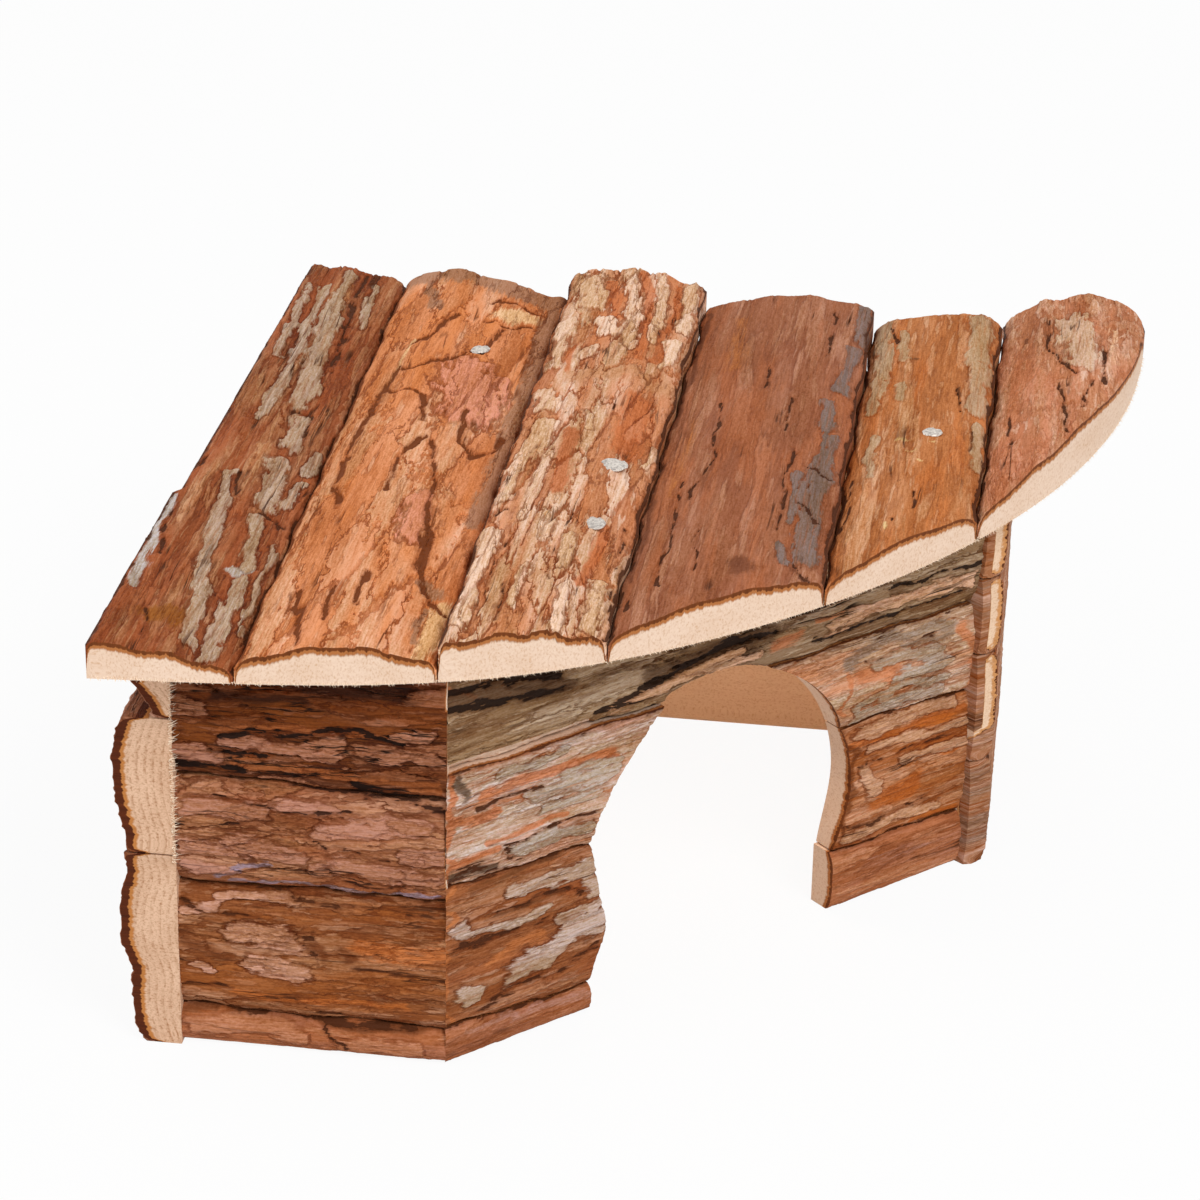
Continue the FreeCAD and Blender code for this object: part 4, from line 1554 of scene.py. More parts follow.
DOOR_LEFT = door_side(((0, 38.3), (12, 39.6), (18.5, 41.6), (26, 40.4), (34, 38.9), (41, 38.3),
                       (46, 39.3), (52, 42.4), (58, 46.7), (63, 51.6), (67, 57.6), (69.6, 65)))
DOOR_RIGHT = door_side(((0, 107.9), (15, 108.0), (22.5, 109.6), (32.4, 111.2), (40, 110.4), (48, 107.6),
                        (54, 104.0), (60, 98.6), (64, 93.2), (67, 87.2), (69.4, 80)))
DOOR_ARCH = door_side(((55, 64.5), (57.6, 67.0), (61, 68.6), (66, 69.7), (72, 70.1), (78, 69.7),
                       (83, 68.6), (87.2, 67), (91, 64.8)))


@dataclass
class Walls:
    """All the wall boards.

    Attributes:
        shop: the shared groups and materials.
        marks: marks by board name.
        left_seams to back_seams: heights of the seams between boards at a wall's two ends.
        slant_length: length of the slanted wall.
        door_middle: where along it the doorway's middle lies.
        sill_end: where the lowest board right of the doorway begins.
        far_pitch: spacing of the points on the walls that show less, in mm.
        top_wave: phase in which the seam under the slanted wall's top board wanders.
        left_profiles: (height, distance out) points of the left wall's boards.
        first_seed, seed_step: shift of the first board's bark pattern, and of each next one's.
    """

    shop: Workshop
    marks: dict
    left_seams: tuple = ((46.0, 46.0), (77.2, 77.2))
    front_seams: tuple = ((9.2, 7.6), (38.6, 39.0), (64.4, 62.0))
    top_seam: tuple = (68.0, 66.2)
    slant_left_seams: tuple = ((8.4, 3.8), (42.4, 38.6))
    slant_right_seams: tuple = ((15.9, 13.2), (46.6, 44.6))
    right_seams: tuple = ((27.0, 25.0), (54.0, 55.0), (72.5, 71.0))
    back_seams: tuple = ((23.0, 24.5), (48.0, 46.5), (71.0, 71.0))
    slant_length: float = 152.7
    door_middle: float = 74.8
    sill_end: float = 107.3
    far_pitch: float = 0.7
    top_wave: float = 60.0
    first_seed: float = 3300.0
    seed_step: float = 300.0
    left_profiles: tuple = (
        ((0, -3.1), (11.5, -1.2), (18.8, -1.3), (22.0, 0.0), (29.8, 0.7), (35.7, 0.4), (39.4, -0.7),
         (45.8, -0.2)),
        ((46.2, -0.6), (49.3, -0.9), (55.4, 0.3), (63.4, 1.2), (70.8, 0.8), (77.0, -1.0)),
        ((77.4, -7.4), (79.2, -7.3), (83.2, -4.9), (87.0, -2.7), (92, -1.6)))

    def stack(self, seams: tuple) -> list:
        """List the boards of a wall.

        Args:
            seams: heights of the seams between them at the wall's two ends.

        Returns:
            The low and the high edge of each, from the floor to the roof.
        """
        half = BOARD_GAP / 2
        lows = [(0.0, 0.0)] + [(a + half, b + half) for a, b in seams]
        highs = [(a - half, b - half) for a, b in seams] + [(WALL_HEIGHT, WALL_HEIGHT)]
        return list(zip(lows, highs))

    def straight(self) -> list[WallBoard]:
        """Lay out the four straight walls.

        Returns:
            Their boards.
        """
        boards = []
        for count, (name, (low, high), profile) in enumerate(zip(
                ("bottom", "middle", "top"), self.stack(self.left_seams), self.left_profiles)):
            node = "left_wall_board_" + name
            boards.append(WallBoard(node, LEFT_WALL, low, high, bark_of(node), profile=profile,
                                    pitch=self.far_pitch, waves=self.waves(count, 3, 20)))
        flat, rounded = (0.6, 0.0, 0.6), (2.2, 0.0, 2.2)
        for prefix, wall, seams, length, pitch, bark in (
                ("front_wall_board_", FRONT_WALL, self.front_seams, CORNER_X, 0.5, rounded),
                ("right_wall_board_", RIGHT_WALL, self.right_seams, CORNER_X, self.far_pitch, flat),
                ("back_wall_board_", BACK_WALL, self.back_seams, WALL_SPAN, self.far_pitch, rounded)):
            for count, (low, high) in enumerate(self.stack(seams)):
                node = prefix + str(count + 1)
                boards.append(WallBoard(node, wall, low, high, bark_of(node), length=length,
                                        pitch=pitch, bark=bark,
                                        waves=self.waves(count, len(seams) + 1, len(prefix))))
        return boards

    @staticmethod
    def waves(count: int, total: int, family: int) -> tuple[float, float]:
        """Give the phases of a board's two seams. The floor and the roof are straight."""
        return (family + count if count else 0.0), (family + count + 1.0 if count + 1 < total else 0.0)

    def slanted(self) -> list[WallBoard]:
        """Lay out the slanted wall, left and right of the doorway and over it.

        Returns:
            Its boards.
        """
        top_low, top_high = self.stack((self.top_seam,))[1]
        seam = self.top_seam
        over_door = seam[0] + (seam[1] - seam[0]) * self.door_middle / self.slant_length
        boards = [WallBoard("slant_wall_board_top", SLANT_WALL, top_low, top_high,
                            OLIVE, bark=(3.0, -0.8, 2.2), arch=DOOR_ARCH,
                            length=self.slant_length, waves=(self.top_wave, 0.0))]
        names = ("bottom", "middle", "upper")

        def stretch(pair: tuple, is_left: bool) -> tuple:
            """Carry a seam's slope over the whole wall.

            Args:
                pair: its heights at the two ends of the half wall.
                is_left: which half.

            Returns:
                Its heights at the wall's two ends.
            """
            near, far = pair
            if is_left:
                return near, near + (far - near) * self.slant_length / self.door_middle
            slope = (far - near) / (self.slant_length - self.door_middle)
            return near - slope * self.door_middle, far

        for side, seams, bark in (
                ("left", self.slant_left_seams + ((seam[0], over_door),), (1.1, 0.0, 1.1)),
                ("right", self.slant_right_seams + ((over_door, seam[1]),), (2.7, -1.6, 2.7))):
            is_left = side == "left"
            spans = self.stack(tuple(stretch(pair, is_left) for pair in seams))
            for count, (name, (low, high)) in enumerate(zip(names, spans)):
                node = "slant_wall_board_%s_%s" % (name, side)
                below, above = self.waves(count, len(names), 40 if is_left else 50)
                board = WallBoard(node, SLANT_WALL, low, high, bark_of(node), bark=bark,
                                  length=self.slant_length, waves=(below, above or self.top_wave))
                if is_left:
                    board.door_left = DOOR_LEFT
                elif name == "bottom":
                    board.door_right = self.sill
                else:
                    board.door_right = DOOR_RIGHT
                boards.append(board)
        return boards

    def sill(self, height: np.ndarray) -> np.ndarray:
        """The bottom board on the right ends upright, a little into the doorway."""
        return self.sill_end + 0 * height

    def build(self) -> None:
        """Build and dress every board."""
        for count, board in enumerate(self.straight() + self.slanted()):
            board.strokes = self.marks.get(board.node, ())
            board.seed = self.first_seed + self.seed_step * count
            dress_board(self.shop, board.slab(), board.finish, board.node)


# ---------------------------------------------------------------- the rest


@dataclass
class SawFuzz:
    """Fine splinters that the saw left along the sawn edges.

    Attributes:
        shop: the shared groups and materials.
        curve: points along the roof's sawn front edge in plan.
        every: one of this many of them is used.
        band: height in mm of the strip that the splinters stand on.
        inset: how far the strip lies inside the sawn face, in mm.
        end_x, end_span: the left wall's inner edge, and the heights between which it is torn.
    """

    shop: Workshop
    curve: np.ndarray
    every: int = 6
    band: float = 0.7
    inset: float = 0.05
    end_x: float = 11.5
    end_span: tuple = (44.0, 91.0)

    def roof(self) -> bpy.types.Object:
        """Lay the strip along the foot of the roof's sawn edge.

        Returns:
            The strip.
        """
        run = self.curve[::self.every]
        ahead = np.gradient(run, axis=0)
        out = np.stack((ahead[:, 1], -ahead[:, 0]), axis=1)
        out /= np.linalg.norm(out, axis=1)[:, None]
        low = np.column_stack((run - out * self.inset, np.full(len(run), WALL_HEIGHT + self.inset)))
        high = low + (0, 0, self.band)
        lean = np.column_stack((out * 0.5, np.full(len(run), -1.0)))
        count = len(run)
        faces = [[i, i + 1, count + i + 1, count + i] for i in range(count - 1)]
        return new_piece("roof_saw_fuzz", np.concatenate((low, high)), faces, lean=np.tile(lean, (2, 1)))

    def wall_end(self) -> bpy.types.Object:
        """Lay the strip along the inner edge of the left wall's sawn end.

        Returns:
            The strip.
        """
        low, high = self.end_span
        points = np.array([(self.end_x + x, -0.08, z) for z in (low, high) for x in (-0.7, 0.0)])
        lean = np.tile((1.0, -0.35, 0.25), (4, 1))
        return new_piece("wall_saw_fuzz", points, [[0, 1, 3, 2]], lean=lean)

    def build(self) -> None:
        """Grow the splinters on both strips."""
        finish = self.shop.fuzz()
        for piece, density, length, radius, seed in (
                (self.roof(), 7.0, 1.0, 0.09, 5), (self.wall_end(), 7.5, 2.6, 0.10, 9)):
            apply_tree(piece, self.shop.splinters, {
                "Density": density / MM ** 2, "Length": length * MM, "Radius": radius * MM,
                "Spread": 0.75, "Seed": seed, "Finish": finish})
            hand_over(piece)


@dataclass
class Nails:
    """The four nails that show on the roof, each knocked in a little differently.

    Attributes:
        shop: the shared groups and materials.
        places: (x, y, height of the head's middle) of each.
        sizes: how large each head is along and across, and how high, against the usual one.
        leans: turns of each about x, y and z.
        head_radius, head_height, shank_radius, shank_length: of the usual nail, in mm.
        dents, dent_scale: depth of the hammer's dents in mm, and how closely they follow.
    """

    shop: Workshop
    places: tuple
    sizes: tuple
    leans: tuple
    head_radius: float = 2.3
    head_height: float = 0.55
    shank_radius: float = 0.9
    shank_length: float = 17.0
    dents: float = 0.9
    dent_scale: float = 900.0

    def build(self) -> None:
        """Build them as one piece in place of the plain nails."""
        piece = new_piece("nails", np.array(self.places), [], lean=self.leans, size=self.sizes)
        apply_tree(piece, self.shop.nails, {
            "Head Radius": self.head_radius * MM, "Head Height": self.head_height * MM,
            "Shank Radius": self.shank_radius * MM, "Shank Length": self.shank_length * MM,
            "Dents": self.dents * MM, "Dent Scale": self.dent_scale, "Finish": self.shop.steel()})
        hand_over(piece, "roof_nails")


@dataclass
class Frame:
    """Posts, battens and fasteners, whose plain solids keep their shape."""

    shop: Workshop
    nodes: dict

    def dress(self) -> None:
        """Give each solid its material."""
        for name, node in self.nodes.items():
            if name.startswith("post"):
                finish = self.shop.timber("Planed post", 2)
            elif name.endswith("batten"):
                finish = self.shop.timber("Planed batten", 0)
            elif "brads" in name:
                finish = self.shop.steel()
            else:
                continue
            node.data.materials.clear()
            node.data.materials.append(finish)
            LOG.info("%s: dressed", name)


@dataclass
class Studio:
    """Camera, floor and soft light.

    Attributes:
        lens, sensor: focal length and width of the picture, in mm.
        position: where the camera stands in the part's frame, in mm.
        right, up, forward: the camera's own directions.
        floor_half: half of the floor's side, in metres.
        whiteness: how little of a shadow the floor shows.
        sky: strength of the light from all around.
    """

    lens: float = 116.5
    sensor: float = 36.0
    position: tuple = (82.47, -772.21, 444.57)
    right: tuple = (0.99088404, 0.13337907, 0.01894308)
    up: tuple = (-0.07529962, 0.43174914, 0.89884518)
    forward: tuple = (-0.11170848, 0.89207775, -0.43785672)
    floor_half: float = 4.0
    whiteness: float = 0.93
    sky: float = 0.60

    def camera(self) -> None:
        """Set up the camera."""
        data = bpy.data.cameras.new("camera")
        data.lens = self.lens
        data.sensor_width = self.sensor
        data.clip_end = 20.0
        camera = bpy.data.objects.new("camera", data)
        turn = Matrix((self.right, self.up, tuple(-v for v in self.forward))).transposed().to_4x4()
        camera.matrix_world = Matrix.Translation(Vector(self.position) * MM) @ turn
        bpy.context.collection.objects.link(camera)
        bpy.context.scene.camera = camera

    def floor(self) -> None:
        """Lay a white floor that keeps a faint shadow."""
        mesh = bpy.data.meshes.new("floor")
        half = self.floor_half
        mesh.from_pydata([(-half, -half, 0), (half, -half, 0), (half, half, 0), (-half, half, 0)], [],
                         [(0, 1, 2, 3)])
        floor = bpy.data.objects.new("floor", mesh)
        bpy.context.collection.objects.link(floor)
        material = bpy.data.materials.new("White floor")
        material.use_nodes = True
        net = Wiring(material.node_tree)
        shader = material.node_tree.nodes["Principled BSDF"]
        net.fill(shader, {"Base Color": (0.8, 0.8, 0.8, 1), "Roughness": 0.9})
        mixed = net.wire("ShaderNodeMixShader", {
            0: self.seen(net) * self.whiteness, 1: Wire(net, shader.outputs[0]),
            2: net.wire("ShaderNodeEmission")})
        net.fill(material.node_tree.nodes["Material Output"], {"Surface": mixed})
        mesh.materials.append(material)

    @staticmethod
    def seen(net: Wiring) -> Wire:
        """Give 1 for what the camera, a gloss or a see-through piece sees, and 0 for the light."""
        camera, glossy, through = (net.wire("ShaderNodeLightPath", output="Is %s Ray" % kind)
                                   for kind in ("Camera", "Glossy", "Transmission"))
        return net.larger(net.larger(camera, glossy), through)

    def world(self) -> None:
        """Light everything evenly, and show white behind."""
        world = bpy.data.worlds.new("studio")
        world.use_nodes = True
        bpy.context.scene.world = world
        net = Wiring(world.node_tree)
        net.fill(world.node_tree.nodes["Background"],
                 {"Color": (1, 1, 1, 1), "Strength": self.seen(net) * (1 - self.sky) + self.sky})

    def lamp(self, name: str, place: tuple, size: float, power: float,
             target: tuple = (0.0, 0.0, 0.05), tint: tuple = (1.0, 1.0, 1.0)) -> None:
        """Hang a square soft lamp.

        Args:
            name: the lamp's name.
            place: where it hangs, in metres.
            size: its side, in metres.
            power: in watts.
            target: the point that it looks at.
            tint: its colour.
        """
        data = bpy.data.lights.new(name, "AREA")
        data.size = size
        data.energy = power
        data.color = tint
        lamp = bpy.data.objects.new(name, data)
        lamp.location = place
        lamp.rotation_mode = "QUATERNION"
        lamp.rotation_quaternion = (Vector(place) - Vector(target)).to_track_quat("Z", "Y")
        bpy.context.collection.objects.link(lamp)

    def build(self) -> None:
        """Set up everything."""
        self.camera()
        self.floor()
        self.world()
        self.lamp("key", (0.9, -1.0, 1.5), 0.8, 19.0)
        self.lamp("fill", (-1.3, -0.9, 0.9), 1.2, 9.0)
        self.lamp("inside", (0.0, 0.0, 0.085), 0.05, 0.07, (0.0, 0.0, 0.0), (1.0, 0.72, 0.45))
        scene = bpy.context.scene
        scene.view_settings.view_transform = "Standard"


# ---------------------------------------------------------------- this house's barks

PLANK_FINISHES = (
    BarkFinish(
        "Reddish striped bark", "bark_reddish", BarkGrowth(50, 3.6, 0.45, 0.35, 0.5, 0.5, 0.6, 0.8),
        low=(133, 67, 31), middle=(158, 86, 47), high=(177, 111, 69), top=(191, 138, 96),
        tint=(158, 79, 39), stain_a=(186, 156, 128), stain_b=(147, 84, 24), stain_c=(198, 189, 180)),
    BarkFinish(
        "Orange flaky bark", "bark_orange", BarkGrowth(46, 6.4, 0.6, 0.2, 0.9, 0.4, 0.7, 0.45),
        low=(196, 114, 62), middle=(217, 138, 89), high=(219, 149, 105), top=(223, 165, 124),
        tint=(212, 124, 64), stain_a=(217, 140, 106), stain_b=(236, 190, 138), stain_c=(160, 112, 81),
        deep=(112, 54, 18)),
    BarkFinish(
        "Pale plated bark", "bark_pale", BarkGrowth(27, 3.8, 0.76, 0.25, 0.9, 0.35, 0.7, 0.7),
        low=(178, 101, 58), middle=(203, 133, 88), high=(216, 165, 128), top=(224, 185, 153),
        tint=(200, 121, 71), stain_a=(228, 188, 154), stain_b=(193, 106, 56), stain_c=(198, 138, 94)),
    BarkFinish(
        "Smooth plum bark", "bark_plum", BarkGrowth(70, 4.5, 0.4, 0.3, 0.25, 0.35, 0.4, 0.4),
        low=(144, 82, 51), middle=(159, 98, 66), high=(168, 109, 77), top=(181, 125, 93),
        tint=(170, 96, 55), stain_a=(126, 103, 91), stain_b=(174, 103, 52), stain_c=(111, 59, 33),
        rims=0.4),
    BarkFinish(
        "Smooth orange bark", "bark_orange", BarkGrowth(50, 5.0, 0.4, 0.35, 0.3, 0.25, 0.5, 0.5),
        low=(168, 98, 48), middle=(190, 118, 67), high=(200, 136, 87), top=(211, 158, 116),
        tint=(195, 109, 49), stain_a=(186, 150, 113), stain_b=(224, 187, 126), stain_c=(106, 59, 27),
        rims=0.5),
    BarkFinish(
        "Salmon bark", "bark_reddish", BarkGrowth(20, 5.0, 0.45, 0.35, 0.4, 0.35, 0.8, 0.6),
        low=(171, 103, 64), middle=(199, 133, 94), high=(210, 151, 115), top=(216, 171, 139),
        tint=(193, 115, 74), stain_a=(208, 171, 139), stain_b=(227, 177, 131), stain_c=(123, 69, 39),
        rims=0.6))

# Its stain_c is the dark brown of the painted shadow under the roof's overhang, laid by the top board's
# stain_c marks.
OLIVE = BarkFinish(
    "Dark olive bark", "bark_olive", BarkGrowth(30, 3.8, 0.5, 0.35, 0.7, 0.45, 0.8, 0.8),
    low=(120, 83, 52), middle=(143, 111, 79), high=(165, 134, 104), top=(188, 159, 126),
    tint=(155, 119, 82), deep=(34, 18, 8), stain_a=(210, 162, 126), stain_b=(186, 112, 68),
    stain_c=(92, 62, 38), rims=0.7)
STREAKED = BarkFinish(
    "Grey and orange streaked bark", "bark_streaked",
    BarkGrowth(26, 2.6, 0.6, 0.45, 0.6, 0.4, 0.8, 0.6), low=(182, 112, 71), middle=(191, 150, 121),
    high=(198, 168, 147), top=(206, 185, 168), tint=(202, 141, 108), stain_a=(182, 162, 143),
    stain_b=(192, 112, 64), stain_c=(91, 67, 48))
GREYED = BarkFinish(
    "Greyed bark", "bark_streaked", BarkGrowth(24, 2.6, 0.55, 0.45, 0.6, 0.45, 0.8, 0.6),
    low=(180, 120, 84), middle=(194, 151, 119), high=(204, 170, 143), top=(216, 186, 159),
    tint=(211, 133, 82), stain_a=(178, 155, 134), stain_b=(198, 122, 76), stain_c=(150, 126, 106))
PATCHED = BarkFinish(
    "Orange bark with grey patches", "bark_streaked", BarkGrowth(30, 3.6, 0.3, 0.3, 0.5, 0.4, 0.9, 0.6),
    low=(140, 77, 37), middle=(158, 96, 57), high=(170, 113, 74), top=(182, 135, 103),
    tint=(148, 79, 39), stain_a=(189, 162, 142), stain_b=(182, 107, 57), stain_c=(105, 59, 28))
BANDED = BarkFinish(
    "Orange bark in bands", "bark_streaked", BarkGrowth(36, 3.2, 0.45, 0.4, 0.5, 0.4, 0.8, 0.6),
    low=(155, 83, 33), middle=(174, 106, 58), high=(191, 133, 94), top=(200, 147, 110),
    tint=(166, 86, 31), stain_a=(197, 148, 112), stain_b=(177, 91, 28), stain_c=(117, 57, 14))
SMOOTH = BarkFinish(
    "Smooth mauve bark", "bark_mauve", BarkGrowth(40, 4.0, 0.4, 0.3, 0.3, 0.4, 0.6, 0.45),
    low=(153, 87, 48), middle=(171, 102, 62), high=(181, 115, 76), top=(194, 134, 97),
    tint=(166, 106, 78), stain_a=(181, 119, 84), stain_b=(173, 121, 99), stain_c=(121, 68, 36),
    rims=0.5)
# Its stain_c is the near black-brown of the painted shadow under the roof's overhang, along the top of the
# front wall's top board.
DARKEST = BarkFinish(
    "Dark brown bark", "bark_brown", BarkGrowth(16, 2.8, 0.45, 0.35, 0.8, 0.7, 0.9, 0.9),
    low=(82, 36, 8), middle=(107, 56, 24), high=(140, 84, 52), top=(165, 108, 78), tint=(122, 59, 13),
    deep=(22, 8, 3), stain_a=(168, 112, 84), stain_b=(152, 84, 42), stain_c=(53, 22, 5))
MAUVE = BarkFinish(
    "Mauve bark", "bark_mauve", BarkGrowth(15, 3.6, 0.6, 0.4, 0.85, 0.5, 0.8, 0.7), low=(130, 73, 42),
    middle=(154, 96, 63), high=(168, 112, 78), top=(182, 127, 92), tint=(153, 85, 49),
    deep=(54, 26, 14), stain_a=(174, 119, 93), stain_b=(151, 128, 136), stain_c=(93, 53, 29))
BROWN = BarkFinish(
    "Brown bark", "bark_brown", BarkGrowth(20, 3.6, 0.45, 0.35, 0.65, 0.6, 0.9, 0.75),
    low=(124, 64, 28), middle=(146, 86, 46), high=(162, 104, 66), top=(180, 130, 96),
    tint=(154, 85, 34), stain_a=(190, 138, 110), stain_b=(179, 98, 42), stain_c=(109, 53, 17))
# Its pale and dark sawn wood are set darker than the other boards': painted shade for the dimmer light on
# the left wall's end.
LEFT_END = BarkFinish(
    "Brown bark over ringed wood", "bark_brown", BarkGrowth(24, 4.0, 0.45, 0.35, 0.5, 0.45, 0.8, 0.8),
    low=(112, 56, 26), middle=(136, 78, 46), high=(152, 98, 68), top=(172, 122, 94), tint=(142, 76, 38),
    rind=(84, 36, 13), inner=(188, 122, 64), thickness=2.0, rings=0.5, pale=(226, 188, 158),
    dark=(170, 122, 86))
RIGHT_END = BarkFinish(
    "Orange bark over a pale end", "bark_streaked", BarkGrowth(24, 3.0, 0.5, 0.4, 0.5, 0.4, 0.8, 0.25),
    low=(150, 82, 38), middle=(168, 104, 62), high=(184, 132, 98), top=(192, 146, 118),
    tint=(150, 120, 98), rind=(96, 46, 18), inner=(206, 146, 92), thickness=0.5, rings=0.1,
    pale=(238, 206, 176))

NAIL_PLACES = ((50.24, 150.9, 99.85), (89.57, 58.0, 100.8), (89.57, 88.0, 101.1), (157.4, 119.2, 100.65))
NAIL_SIZES = ((1.15, 0.8, 1.0), (1.05, 1.45, 1.0), (1.5, 1.3, 1.0), (1.0, 0.95, 1.0))
NAIL_LEANS = ((0.05, 0.03, 0.9), (-0.05, -0.12, 0.5), (0.06, 0.04, 0.3), (0.0, 0.0, 0.4))

WALL_BARKS = {
    "front_wall_board_1": SMOOTH, "front_wall_board_2": BROWN, "front_wall_board_3": MAUVE,
    "front_wall_board_4": DARKEST, "slant_wall_board_top": OLIVE, "slant_wall_board_upper_left": STREAKED,
    "slant_wall_board_middle_left": PATCHED, "slant_wall_board_bottom_left": SMOOTH,
    "slant_wall_board_upper_right": GREYED, "slant_wall_board_middle_right": BANDED,
    "slant_wall_board_bottom_right": SMOOTH}
